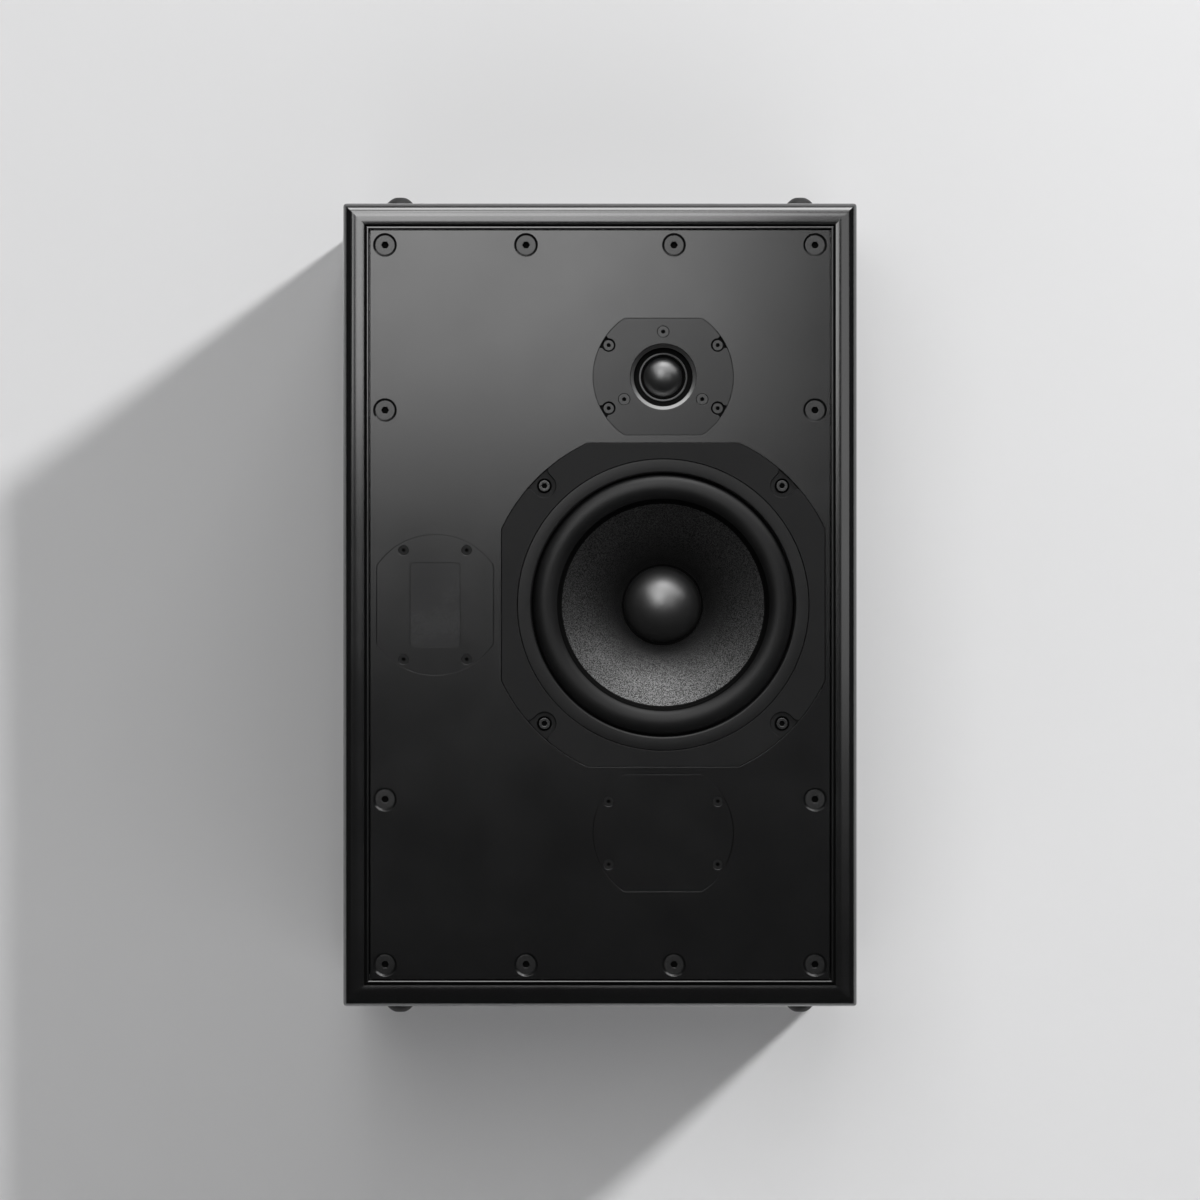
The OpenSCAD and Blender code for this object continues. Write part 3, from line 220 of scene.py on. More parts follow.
# Paints, plastics, rubbers and plain metals, and two finishes of painted shade
clearCoatRough = 0.12
skinFinishes = {
    "cabinet_lacquer": {"dark": (0.0018, 0.0018, 0.002), "light": (0.003, 0.003, 0.0032),
                        "sheen": (0.15, 0.2), "peel": 300.0, "grain": 3200.0, "depth": 0.0015,
                        "gloss": 1.0, "coat": 0.6},
    "panel_lacquer": {"dark": (0.0018, 0.0018, 0.002), "light": (0.003, 0.003, 0.0032), "sheen": (0.17, 0.2),
                      "peel": 420.0, "grain": 3000.0, "depth": 0.004, "gloss": 1.0},
    "black_steel": {"dark": (0.004, 0.004, 0.0042), "light": (0.009, 0.009, 0.0092), "sheen": (0.22, 0.3),
                    "peel": 900.0, "grain": 5000.0, "depth": 0.003, "gloss": 0.9},
    # painted shade: a darker, duller copy of black_steel for screw heads deep in their pockets
    "painted_shade_steel": {"dark": (0.003, 0.003, 0.0031), "light": (0.006, 0.006, 0.0061), "sheen": (0.4, 0.5),
                   "peel": 900.0, "grain": 5000.0, "depth": 0.004, "gloss": 0.25},
    # painted shade: near black for sockets, pocket floors, the groove floor and other places little light
    # reaches
    "deep_shade": {"dark": (0.0006, 0.0006, 0.0006), "light": (0.0014, 0.0014, 0.0014), "sheen": (0.6, 0.75),
                   "peel": 900.0, "grain": 3000.0, "depth": 0.01, "gloss": 0.1},
    "brass": {"dark": (0.62, 0.45, 0.18), "light": (0.78, 0.6, 0.3), "sheen": (0.2, 0.34),
              "peel": 900.0, "grain": 4000.0, "depth": 0.004, "metal": 1.0},
    "cast_alloy": {"dark": (0.005, 0.005, 0.0052), "light": (0.008, 0.008, 0.0082), "sheen": (0.4, 0.48),
                   "peel": 1300.0, "grain": 3600.0, "depth": 0.012, "gloss": 0.22},
    "trim_plastic": {"dark": (0.004, 0.004, 0.0042), "light": (0.007, 0.007, 0.0072), "sheen": (0.32, 0.4),
                     "peel": 900.0, "grain": 3600.0, "depth": 0.006, "gloss": 0.34},
    "surround_rubber": {"dark": (0.004, 0.004, 0.0042), "light": (0.007, 0.007, 0.0072),
                        "sheen": (0.36, 0.46), "peel": 700.0, "grain": 3200.0, "depth": 0.010, "gloss": 0.3},
    "gasket_foam": {"dark": (0.015, 0.015, 0.015), "light": (0.04, 0.04, 0.04), "sheen": (0.8, 0.95),
                    "peel": 900.0, "grain": 2200.0, "depth": 0.15},
    "plain_steel": {"dark": (0.42, 0.42, 0.42), "light": (0.55, 0.55, 0.54), "sheen": (0.28, 0.42),
                    "peel": 500.0, "grain": 3000.0, "depth": 0.006, "metal": 1.0},
    "ferrite": {"dark": (0.03, 0.03, 0.032), "light": (0.06, 0.06, 0.063), "sheen": (0.55, 0.7),
                "peel": 600.0, "grain": 2600.0, "depth": 0.04},
    "strip_board": {"dark": (0.3, 0.19, 0.08), "light": (0.42, 0.28, 0.13), "sheen": (0.4, 0.55),
                    "peel": 700.0, "grain": 2600.0, "depth": 0.02},
    "tweeter_plate": {"dark": (0.002, 0.002, 0.0022), "light": (0.0036, 0.0036, 0.0038),
                      "sheen": (0.19, 0.23), "peel": 1500.0, "grain": 4200.0, "depth": 0.002, "gloss": 0.72},
    "polished_edge": {"dark": (0.001, 0.001, 0.001), "light": (0.002, 0.002, 0.002), "sheen": (0.3, 0.34),
                      "peel": 1500.0, "grain": 4200.0, "depth": 0.002, "gloss": 1.0, "index": 1.95,
                      "coat": 0.5},
    "small_rubber": {"dark": (0.007, 0.007, 0.0072), "light": (0.014, 0.014, 0.0142), "sheen": (0.35, 0.45),
                     "peel": 1500.0, "grain": 5000.0, "depth": 0.006},
    "support_plastic": {"dark": (0.07, 0.07, 0.071), "light": (0.1, 0.1, 0.102), "sheen": (0.45, 0.55),
                        "peel": 1500.0, "grain": 5000.0, "depth": 0.006},
    "magnet_plating": {"dark": (0.5, 0.5, 0.51), "light": (0.62, 0.62, 0.63), "sheen": (0.16, 0.26),
                       "peel": 700.0, "grain": 4000.0, "depth": 0.003, "metal": 1.0},
    "chamber_plastic": {"dark": (0.012, 0.012, 0.012), "light": (0.022, 0.022, 0.022), "sheen": (0.45, 0.6),
                        "peel": 900.0, "grain": 3200.0, "depth": 0.02},
    "badge_plate": {"dark": (0.008, 0.008, 0.0085), "light": (0.014, 0.014, 0.0145), "sheen": (0.22, 0.3),
                    "peel": 900.0, "grain": 4200.0, "depth": 0.006},
    "foot_rubber": {"dark": (0.004, 0.004, 0.004), "light": (0.009, 0.009, 0.009), "sheen": (0.5, 0.6),
                    "peel": 900.0, "grain": 3200.0, "depth": 0.02},
    "zinc_steel": {"dark": (0.42, 0.43, 0.44), "light": (0.55, 0.56, 0.57), "sheen": (0.26, 0.38),
                   "peel": 900.0, "grain": 4000.0, "depth": 0.006, "metal": 1.0},
    "cup_plastic": {"dark": (0.010, 0.010, 0.0102), "light": (0.018, 0.018, 0.0182), "sheen": (0.42, 0.55),
                    "peel": 1200.0, "grain": 3000.0, "depth": 0.04},
    "red_plastic": {"dark": (0.3, 0.008, 0.008), "light": (0.42, 0.016, 0.014), "sheen": (0.24, 0.34),
                    "peel": 900.0, "grain": 3600.0, "depth": 0.006},
    "black_plastic": {"dark": (0.010, 0.010, 0.010), "light": (0.018, 0.018, 0.018), "sheen": (0.24, 0.34),
                      "peel": 900.0, "grain": 3600.0, "depth": 0.006},
    "capacitor_film": {"dark": (0.5, 0.34, 0.07), "light": (0.6, 0.44, 0.12), "sheen": (0.2, 0.3),
                       "peel": 500.0, "grain": 3000.0, "depth": 0.01},
    "resistor_ceramic": {"dark": (0.62, 0.6, 0.54), "light": (0.74, 0.72, 0.66), "sheen": (0.6, 0.75),
                         "peel": 700.0, "grain": 2600.0, "depth": 0.04},
    "wire_jacket": {"dark": (0.25, 0.02, 0.015), "light": (0.36, 0.035, 0.025), "sheen": (0.35, 0.48),
                    "peel": 700.0, "grain": 3000.0, "depth": 0.01},
    "former_film": {"dark": (0.42, 0.24, 0.08), "light": (0.55, 0.34, 0.13), "sheen": (0.22, 0.32),
                    "peel": 700.0, "grain": 3000.0, "depth": 0.004},
    "wadding_foam": {"dark": (0.03, 0.03, 0.031), "light": (0.11, 0.11, 0.112), "sheen": (0.85, 1.0),
                     "peel": 260.0, "grain": 900.0, "depth": 1.2},
}


def makeSkinFinish(name, look):
    material, tree, shader, place = startMaterial(name)
    skin = useGroup(tree, skinGroup, place, {
        "Peel Scale": look["peel"], "Grain Scale": look["grain"],
        "Sheen Low": look["sheen"][0], "Sheen High": look["sheen"][1]})
    addTint(tree, shader, skin.outputs["Shade"], look["dark"], look["light"])
    tree.links.new(skin.outputs["Roughness"], shader.inputs["Roughness"])
    shader.inputs["Metallic"].default_value = look.get("metal", 0.0)
    shader.inputs["Specular IOR Level"].default_value = look.get("gloss", 0.5)
    shader.inputs["IOR"].default_value = look.get("index", 1.5)
    shader.inputs["Coat Weight"].default_value = look.get("coat", 0.0)
    shader.inputs["Coat Roughness"].default_value = clearCoatRough
    addBump(tree, shader, skin.outputs["Height"], look["depth"] * mm)
    return material


# The doped cone: grains in the coating catch the light, and towards the neck the colour and the coat fade
# into painted shade
coneLook = {"dark": (0.001, 0.001, 0.0011), "light": (0.006, 0.006, 0.0061), "grain": 1100.0, "speck": 2200.0,
            "felt": 60.0, "depth": 0.6, "sheen": (0.34, 0.5), "gloss": 0.3, "glints": (0.0, 1.0),
            "index": 2.15, "coatRough": 0.46, "neckShadeFrom": 29.0, "neckShadeTo": 49.0}


def addRadius(tree, place, centre):
    # distance from a driver's axis, which runs along Y
    shift = tree.nodes.new("ShaderNodeVectorMath")
    shift.operation = "SUBTRACT"
    tree.links.new(place, shift.inputs[0])
    shift.inputs[1].default_value = centre
    flat = tree.nodes.new("ShaderNodeVectorMath")
    flat.operation = "MULTIPLY"
    tree.links.new(shift.outputs["Vector"], flat.inputs[0])
    flat.inputs[1].default_value = (1.0, 0.0, 1.0)
    length = tree.nodes.new("ShaderNodeVectorMath")
    length.operation = "LENGTH"
    tree.links.new(flat.outputs["Vector"], length.inputs[0])
    return length.outputs["Value"]


def makeConeFinish():
    material, tree, shader, place = startMaterial("cone_plastic")
    grain = addNoise(tree, place, coneLook["grain"], 3.0, 0.65)
    speck = addNoise(tree, place, coneLook["speck"], 1.0, 0.5)
    felt = addNoise(tree, place, coneLook["felt"], 4.0, 0.6)
    radius = addRadius(tree, place, wooferAt)
    # painted shade round the dust cap: this fade is 0 at the neck and 1 further out, and it darkens the
    # colour and the coat
    neckShadeFade = addRange(tree, radius, coneLook["neckShadeFrom"] * mm, coneLook["neckShadeTo"] * mm, 0.0, 1.0)
    height = addMath(tree, "MULTIPLY_ADD", speck, 0.45, addMath(tree, "MULTIPLY", grain, 0.55))
    mottle = addMath(tree, "MULTIPLY_ADD", felt, 0.2, addMath(tree, "MULTIPLY", height, 0.8))
    mask = addMath(tree, "MULTIPLY", addRange(tree, mottle, 0.4, 0.62, 0.0, 1.0), neckShadeFade)
    addTint(tree, shader, mask, coneLook["dark"], coneLook["light"])
    tree.links.new(addRange(tree, height, 0.38, 0.62, *coneLook["sheen"]), shader.inputs["Roughness"])
    glints = addMath(tree, "MULTIPLY", neckShadeFade, addRange(tree, height, 0.44, 0.57, *coneLook["glints"]))
    tree.links.new(glints, shader.inputs["Coat Weight"])
    shader.inputs["Coat Roughness"].default_value = coneLook["coatRough"]
    shader.inputs["Coat IOR"].default_value = coneLook["index"]
    shader.inputs["Specular IOR Level"].default_value = coneLook["gloss"]
    addBump(tree, shader, height, coneLook["depth"] * mm)
    return material


# Coated cloths
clothLooks = {
    "cap_cloth": {"dark": (0.0015, 0.0015, 0.0016), "light": (0.006, 0.006, 0.0062), "thread": 520.0,
                  "depth": 0.012, "rough": 0.4, "gloss": 1.0, "index": 1.75, "coat": 1.0},
    "dome_cloth": {"dark": (0.001, 0.0011, 0.0013), "light": (0.004, 0.0042, 0.0048), "thread": 900.0,
                   "depth": 0.004, "rough": 0.36, "gloss": 1.0, "index": 1.62, "coat": 1.0},
    "spider_cloth": {"dark": (0.42, 0.25, 0.08), "light": (0.62, 0.42, 0.17), "thread": 420.0,
                     "depth": 0.15, "rough": 0.75, "gloss": 0.3, "index": 1.5, "coat": 0.0},
}


def makeClothFinish(name, look):
    material, tree, shader, place = startMaterial(name)
    weave = useGroup(tree, weaveGroup, place, {"Thread Scale": look["thread"]})
    addTint(tree, shader, weave.outputs["Shade"], look["dark"], look["light"])
    shader.inputs["Roughness"].default_value = look["rough"]
    shader.inputs["Specular IOR Level"].default_value = look["gloss"]
    shader.inputs["IOR"].default_value = look["index"]
    shader.inputs["Coat Weight"].default_value = look["coat"]
    shader.inputs["Coat Roughness"].default_value = look["rough"]
    addBump(tree, shader, weave.outputs["Height"], look["depth"] * mm)
    return material


# Bare boards inside the cabinet, with long grain
boardLook = {"dark": (0.3, 0.19, 0.09), "light": (0.52, 0.37, 0.2), "stretch": (6.0, 6.0, 1.0), "scale": 90.0,
             "pores": 1400.0, "rough": 0.7, "depth": 0.12}


def makeBoardFinish():
    material, tree, shader, place = startMaterial("bare_board")
    stretch = tree.nodes.new("ShaderNodeMapping")
    stretch.inputs["Scale"].default_value = boardLook["stretch"]
    tree.links.new(place, stretch.inputs["Vector"])
    grain = addNoise(tree, stretch.outputs["Vector"], boardLook["scale"], 5.0, 0.6)
    pores = addNoise(tree, place, boardLook["pores"], 2.0)
    mixed = addMath(tree, "MULTIPLY_ADD", pores, 0.25, addMath(tree, "MULTIPLY", grain, 0.75))
    addTint(tree, shader, addRange(tree, mixed, 0.35, 0.65, 0.0, 1.0), boardLook["dark"], boardLook["light"])
    shader.inputs["Roughness"].default_value = boardLook["rough"]
    addBump(tree, shader, mixed, boardLook["depth"] * mm)
    return material


# Enamelled copper, wound turn beside turn
coilLook = {"dark": (0.42, 0.14, 0.045), "light": (0.8, 0.36, 0.14), "turn": 320.0, "wander": 0.4,
            "rough": 0.3, "depth": 0.12}


def makeCoilFinish():
    material, tree, shader, place = startMaterial("copper_coil")
    turns = tree.nodes.new("ShaderNodeTexWave")
    turns.bands_direction = "Y"
    turns.inputs["Scale"].default_value = coilLook["turn"]
    turns.inputs["Distortion"].default_value = coilLook["wander"]
    tree.links.new(place, turns.inputs["Vector"])
    addTint(tree, shader, turns.outputs["Fac"], coilLook["dark"], coilLook["light"])
    shader.inputs["Metallic"].default_value = 1.0
    shader.inputs["Roughness"].default_value = coilLook["rough"]
    addBump(tree, shader, turns.outputs["Fac"], coilLook["depth"] * mm)
    return material


# Green circuit board with copper tracks under the mask
circuitLook = {"mask": (0.02, 0.09, 0.035), "track": (0.05, 0.19, 0.08), "cells": 120.0, "gap": (0.08, 0.12),
               "rough": 0.28, "depth": 0.05}


def makeCircuitFinish():
    material, tree, shader, place = startMaterial("circuit_board")
    cells = tree.nodes.new("ShaderNodeTexVoronoi")
    cells.feature = "DISTANCE_TO_EDGE"
    cells.distance = "EUCLIDEAN"
    cells.inputs["Scale"].default_value = circuitLook["cells"]
    tree.links.new(place, cells.inputs["Vector"])
    tracks = addRange(tree, cells.outputs["Distance"], *circuitLook["gap"], 0.0, 1.0)
    addTint(tree, shader, tracks, circuitLook["mask"], circuitLook["track"])
    shader.inputs["Roughness"].default_value = circuitLook["rough"]
    addBump(tree, shader, tracks, circuitLook["depth"] * mm)
    return material


finishes = {name: makeSkinFinish(name, look) for name, look in skinFinishes.items()}
finishes.update({name: makeClothFinish(name, look) for name, look in clothLooks.items()})
finishes["cone_plastic"] = makeConeFinish()
finishes["bare_board"] = makeBoardFinish()
finishes["copper_coil"] = makeCoilFinish()
finishes["circuit_board"] = makeCircuitFinish()
print("finishes made:", len(finishes))


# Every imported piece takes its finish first; the pieces below then stand for some of them
for node, part in frame["nodes"].items():
    part.data.materials.clear()
    part.data.materials.append(finishes[slotOf[node]])

# The front faces of the tweeter's winding take the deep shade, a painted shade where the winding shows past
# the dome
winding = frame["nodes"]["tweeter_coil"].data
winding.materials.append(finishes["deep_shade"])
for face in winding.polygons:
    face.material_index = int(face.normal.y < -0.9)


def weighNormals(mesh, crease):
    # large flat faces keep their own direction, so only the narrow roundings turn the light
    limit = math.cos(math.radians(crease))
    normals = [face.normal.copy() for face in mesh.polygons]
    areas = [face.area for face in mesh.polygons]
    around = [[] for _ in mesh.vertices]
    for number, face in enumerate(mesh.polygons):
        for index in face.vertices:
            around[index].append(number)
    corners = []
    for number, face in enumerate(mesh.polygons):
        for index in face.vertices:
            total = Vector()
            for other in around[index]:
                if normals[number].dot(normals[other]) > limit:
                    total += normals[other] * areas[other]
            corners.append(total.normalized())
    mesh.normals_split_custom_set(corners)


# Heads that sit deep in their pockets take a darker, duller copy of the steel, a painted shade for the light
# that reaches them less
shadedSteelFor = {"blank_screws": "painted_shade_steel"}


def addPiece(name, bm, node, body=None, standsFor=True, crease=32.0, weighed=False, finish=None):
    mesh = bpy.data.meshes.new(name)
    bm.to_mesh(mesh)
    bm.free()
    for face in mesh.polygons:
        face.use_smooth = True
    mesh.set_sharp_from_angle(angle=math.radians(crease))
    if weighed:
        weighNormals(mesh, crease)
    mesh.materials.append(finishes[finish or shadedSteelFor.get(node, slotOf[node])])
    # faces marked 1 take the deep shade, a painted shade
    if any(face.material_index for face in mesh.polygons):
        mesh.materials.append(finishes["deep_shade"])
    piece = bpy.data.objects.new(name, mesh)
    bpy.context.scene.collection.objects.link(piece)
    if standsFor:
        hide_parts(node)
    if body != "blended":
        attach(piece, body or bodyOf[node])
    return piece


def cleanCopy(node, joinFlats=True):
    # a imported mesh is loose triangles
    bm = bmesh.new()
    bm.from_mesh(frame["nodes"][node].data)
    bmesh.ops.remove_doubles(bm, verts=bm.verts, dist=0.002 * mm)
    if joinFlats:
        bmesh.ops.dissolve_limit(bm, angle_limit=math.radians(0.4), verts=bm.verts, edges=bm.edges)
    return bm


# Sockets, the floors of pockets and the bottom of the mouth, which little light reaches, take the deep shade,
# a painted shade
def islandsOf(bm):
    left = set(bm.faces)
    while left:
        stack = [left.pop()]
        island = []
        while stack:
            face = stack.pop()
            island.append(face)
            for edge in face.edges:
                for other in edge.link_faces:
                    if other in left:
                        left.discard(other)
                        stack.append(other)
        yield island


def axisOf(points):
    return ((min(p.x for p in points) + max(p.x for p in points)) / 2,
            (min(p.z for p in points) + max(p.z for p in points)) / 2)


def placesOf(node):
    bm = cleanCopy(node, joinFlats=False)
    found = [axisOf([vert.co for face in island for vert in face.verts]) for island in islandsOf(bm)]
    bm.free()
    return found


# Radius of each socket, and how far under the head its walls and floor lie, which take painted shade
sockets = {"baffle_screws": 2.4, "woofer_screws": 1.8, "tweeter_screws": 1.45, "tweeter_motor_screws": 1.45,
           "blank_screws": 1.45, "cup_screws": 1.45}
socketDepth = (0.25, 3.0)


def shadeSockets(bm, node):
    for island in islandsOf(bm):
        points = [vert.co for face in island for vert in face.verts]
        axis = axisOf(points)
        head = max(p.y for p in points) if node == "cup_screws" else min(p.y for p in points)
        for face in island:
            middle = face.calc_center_median()
            if (near(middle, [axis], sockets[node])
                    and socketDepth[0] * mm < abs(middle.y - head) < socketDepth[1] * mm):
                face.material_index = 1


def near(middle, places, reach):
    return any(math.hypot(middle.x - x, middle.z - z) < reach * mm for x, z in places)


# Pockets for the screws, as the reach from each screw and the depth of the floor, and the tweeter's mouth:
# faces found there take painted shade
pockets = {"frameReach": 4.8, "frameFloor": (2.2, 4.6), "mouthReach": 18.6, "mouthFloor": 5.9,
           "plateReach": 8.0, "plateFloor": 0.35, "plateFrom": 33.0, "motorReach": 3.9, "motorFloor": 0.12}


def shadePockets(bm, node):
    places = placesOf({"woofer_frame": "woofer_screws", "tweeter_faceplate": "tweeter_screws"}[node])
    motor = placesOf("tweeter_motor_screws")
    for face in bm.faces:
        middle = face.calc_center_median()
        depth = (middle.y - faceY) / mm
        if node == "woofer_frame":
            shallow, deep = pockets["frameFloor"]
            dark = shallow < depth < deep and near(middle, places, pockets["frameReach"])
        else:
            fromAxis = math.hypot(middle.x - tweeterAt.x, middle.z - tweeterAt.z) / mm
            dark = (fromAxis < pockets["mouthReach"] and depth > pockets["mouthFloor"]
                    or fromAxis > pockets["plateFrom"] and depth > pockets["plateFloor"]
                    and near(middle, places, pockets["plateReach"])
                    or depth > pockets["motorFloor"] and near(middle, motor, pockets["motorReach"]))
        face.material_index = int(dark)


# Rigid pieces whose machined or moulded edges catch the light: width of the rounding in mm
edgeWidths = {
    "baffle": 0.12, "woofer_frame": 0.3, "tweeter_faceplate": 0.12, "side_blank": 0.08, "lower_blank": 0.08,
    "badge": 0.15, "baffle_screws": 0.22, "woofer_screws": 0.3, "tweeter_screws": 0.12,
    "tweeter_motor_screws": 0.15, "blank_screws": 0.12, "cup_screws": 0.15, "terminal_cup": 0.4,
    "post_nuts": 0.3, "back_panel": 0.4, "driver_terminals": 0.1,
    "woofer_yoke": 0.4, "woofer_magnet": 0.8, "woofer_top_plate": 0.4,
}


def soften(node, width, sharpAngle=38.0):
    bm = cleanCopy(node)
    sharp = [edge for edge in bm.edges
             if len(edge.link_faces) == 2 and edge.calc_face_angle(0.0) > math.radians(sharpAngle)]
    bmesh.ops.bevel(bm, geom=sharp, offset=width * mm, offset_type="OFFSET", segments=2, profile=0.5,
                    affect="EDGES", clamp_overlap=False, material=-1)
    if node in sockets:
        shadeSockets(bm, node)
    elif node in ("woofer_frame", "tweeter_faceplate"):
        shadePockets(bm, node)
    addPiece("soft_" + node, bm, node, crease=60.0, weighed=True)


for node, width in edgeWidths.items():
    soften(node, width)
print("edges softened on", len(edgeWidths), "pieces")


# The four boards: on the moulded edge the crown falls away from its crest to both sides, the ovolo leans
# a little and the floor of the shadow groove takes painted shade. Widths run inwards from the outer face of
# each board, and the slack is how far from a drawn edge a vertex may lie.
moulding = {"quirk": 6.2, "quirkDepth": 0.5, "crest": 10.8, "inner": 13.45, "rise": 0.6, "fall": 0.2,
            "dip": 0.1, "dipWidth": 1.6, "lean": 0.14, "ovoloDepth": 6.9, "slack": 0.1,
            "groove": (13.2, 14.8), "grooveDepth": (0.9, 2.3)}
outerFaces = {"left_side": (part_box("left_side")[0].x, 1, "x"),
              "right_side": (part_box("right_side")[1].x, -1, "x"),
              "bottom_board": (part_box("bottom_board")[0].z, 1, "z"),
              "top_board": (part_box("top_board")[1].z, -1, "z")}


def crownDepth(inward):
    if inward < moulding["crest"]:
        share = (moulding["crest"] - inward) / (moulding["crest"] - moulding["quirk"])
        dip = max(0.0, 1 - (inward - moulding["quirk"]) / moulding["dipWidth"])
        return moulding["rise"] * share ** 1.3 + moulding["dip"] * dip ** 2
    return moulding["fall"] * ((inward - moulding["crest"]) / (moulding["inner"] - moulding["crest"])) ** 1.5


def shapeBoard(node):
    edge, way, along = outerFaces[node]
    frontY = cadBox[0].y
    bm = cleanCopy(node)

    def measure(point):
        return (getattr(point, along) - edge) * way / mm, (point.y - frontY) / mm

    crownFrom = moulding["quirk"] - moulding["slack"] / 2
    crownDeep = moulding["quirkDepth"] + moulding["slack"]
    for vert in bm.verts:
        inward, depth = measure(vert.co)
        if depth < crownDeep and crownFrom <= inward < moulding["inner"]:
            vert.co.y = frontY + crownDepth(inward) * mm
        elif depth < moulding["ovoloDepth"] and inward <= moulding["quirk"]:
            vert.co.y += moulding["lean"] * (moulding["quirk"] - inward) * mm
    bm.normal_update()
    low, high = moulding["groove"]
    shallow, deep = moulding["grooveDepth"]
    # painted shade on the floor of the shadow groove
    for face in bm.faces:
        inward, depth = measure(face.calc_center_median())
        face.material_index = int(low < inward < high and shallow < depth < deep)
    addPiece("moulded_" + node, bm, node, crease=34.0, weighed=True)


for node in outerFaces:
    shapeBoard(node)
print("boards shaped")


# Turned pieces: a profile of (radius, depth) points spun round a driver's axis
def arc(radius, depth, size, start, stop, steps=8, tall=None):
    turn = [math.radians(start + (stop - start) * i / steps) for i in range(steps + 1)]
    return [(radius + size * math.cos(a), depth - (tall or size) * math.sin(a)) for a in turn]


def spinProfile(points, centre, turns, closed=True):
    bm = bmesh.new()
    verts = [bm.verts.new((centre.x + r * mm, centre.y + d * mm, centre.z)) for r, d in points]
    pairs = list(zip(verts, verts[1:])) + ([(verts[-1], verts[0])] if closed else [])
    edges = [bm.edges.new(pair) for pair in pairs]
    bmesh.ops.spin(bm, geom=verts + edges, cent=centre, axis=(0, 1, 0), angle=2 * math.pi, steps=turns,
                   use_merge=True, use_duplicate=False)
    bmesh.ops.remove_doubles(bm, verts=bm.verts, dist=0.001 * mm)
    bmesh.ops.recalc_face_normals(bm, faces=bm.faces)
    return bm


def spinShell(points, centre, turns, wall):
    bm = spinProfile(points, centre, turns, closed=False)
    front = max(bm.faces, key=lambda face: abs(face.normal.y))
    if front.normal.y > 0:  # a shell's outside is the side that the room sees
        bmesh.ops.reverse_faces(bm, faces=bm.faces)
    bmesh.ops.solidify(bm, geom=bm.faces, thickness=wall * mm)
    return bm


def domePoints(radius, height, base, steps):
    # part of a sphere, from its top to its rim at the base
    sphere = (radius ** 2 + height ** 2) / (2 * height)
    half = math.asin(radius / sphere)
    centre = base - height + sphere
    turn = [half * i / steps for i in range(steps + 1)]
    return [(sphere * math.sin(a), centre - sphere * math.cos(a)) for a in turn]


def blendByRadius(piece, outer, inner):
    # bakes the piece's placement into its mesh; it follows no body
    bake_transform(piece)


def shadeBeyond(bm, centre, radius):
    for face in bm.faces:
        middle = face.calc_center_median()
        face.material_index = int(math.hypot(middle.x - centre.x, middle.z - centre.z) > radius * mm)


def shadeWithin(bm, centre, radius):
    shadeBeyond(bm, centre, radius)
    for face in bm.faces:
        face.material_index = 1 - face.material_index


# Woofer cone, from its rim to its neck, steeper towards the neck
cone = {"rim": 64.6, "edge": 64.3, "neck": 22.6, "rimDepth": 6.5, "drop": 31.0, "straight": 0.72,
        "wall": 1.1, "steps": 40, "turns": 144}


def coneDepth(radius):
    share = (cone["rim"] - radius) / (cone["rim"] - cone["neck"])
    return cone["rimDepth"] + cone["drop"] * (cone["straight"] * share + (1 - cone["straight"]) * share ** 2)


def makeCone():
    width = cone["edge"] - cone["neck"]
    radii = [cone["edge"] - width * i / cone["steps"] for i in range(cone["steps"] + 1)]
    points = [(r, coneDepth(r)) for r in radii]
    addPiece("doped_cone", spinShell(points, wooferAt, cone["turns"], cone["wall"]), "woofer_cone")


# Half roll of butyl rubber, glued to the basket outside and to the cone inside
roll = {"flange": 90.4, "outer": 81.6, "inner": 64.6, "lip": 63.0, "base": 5.6, "height": 6.5, "wall": 0.9,
        "shoulder": 2.0, "sink": 0.25, "glued": 0.9, "gluedGap": 0.08, "lipGap": 0.04, "shadeBand": 1.6,
        "steps": 40, "turns": 160}


def makeRoll():
    middle = (roll["outer"] + roll["inner"]) / 2
    half = (roll["outer"] - roll["inner"]) / 2
    glued = roll["inner"] - roll["glued"]
    points = [(roll["flange"], roll["base"]), (roll["outer"] + roll["shoulder"], roll["base"])]
    points += arc(middle, roll["base"] - roll["sink"], half, 4, 176, roll["steps"],
                  tall=roll["height"] - roll["sink"])
    points += [(glued, coneDepth(glued) - roll["wall"] - roll["gluedGap"]),
               (roll["lip"], coneDepth(roll["lip"]) - roll["wall"] - roll["lipGap"])]
    bm = spinShell(points, wooferAt, roll["turns"], roll["wall"])
    # painted shade on the inner flank of the roll, beside the cone
    shadeWithin(bm, wooferAt, roll["inner"] + roll["shadeBand"])
    piece = addPiece("half_roll", bm, "woofer_surround", body="blended")
    blendByRadius(piece, roll["outer"], roll["inner"])


# Domed dust cap with its glued rim, which takes painted shade
cap = {"radius": 24.0, "height": 16.5, "rim": 1.2, "wall": 0.4, "seatGap": 0.1, "turnOut": (0.5, 0.05),
       "pressed": 0.9, "shadeBand": 0.2, "steps": 28, "turns": 112}


def makeCap():
    seat = coneDepth(cap["radius"]) - cap["wall"] - cap["seatGap"]
    points = domePoints(cap["radius"], cap["height"], seat, cap["steps"])
    edge = cap["radius"] + cap["rim"]
    out, down = cap["turnOut"]
    points += [(cap["radius"] + out, seat + down), (edge, coneDepth(edge) - cap["wall"] * cap["pressed"])]
    bm = spinShell(points, wooferAt, cap["turns"], cap["wall"])
    # painted shade on the rim, where the cap meets the cone
    shadeBeyond(bm, wooferAt, cap["radius"] - cap["shadeBand"])
    addPiece("dust_cap", bm, "woofer_dust_cap", crease=50.0)


# Trim ring over the outer flange of the half roll
trim = {"inner": 82.0, "outer": 90.7, "face": 0.5, "back": 5.5, "inRound": 1.3, "outRound": 0.5, "turns": 192}


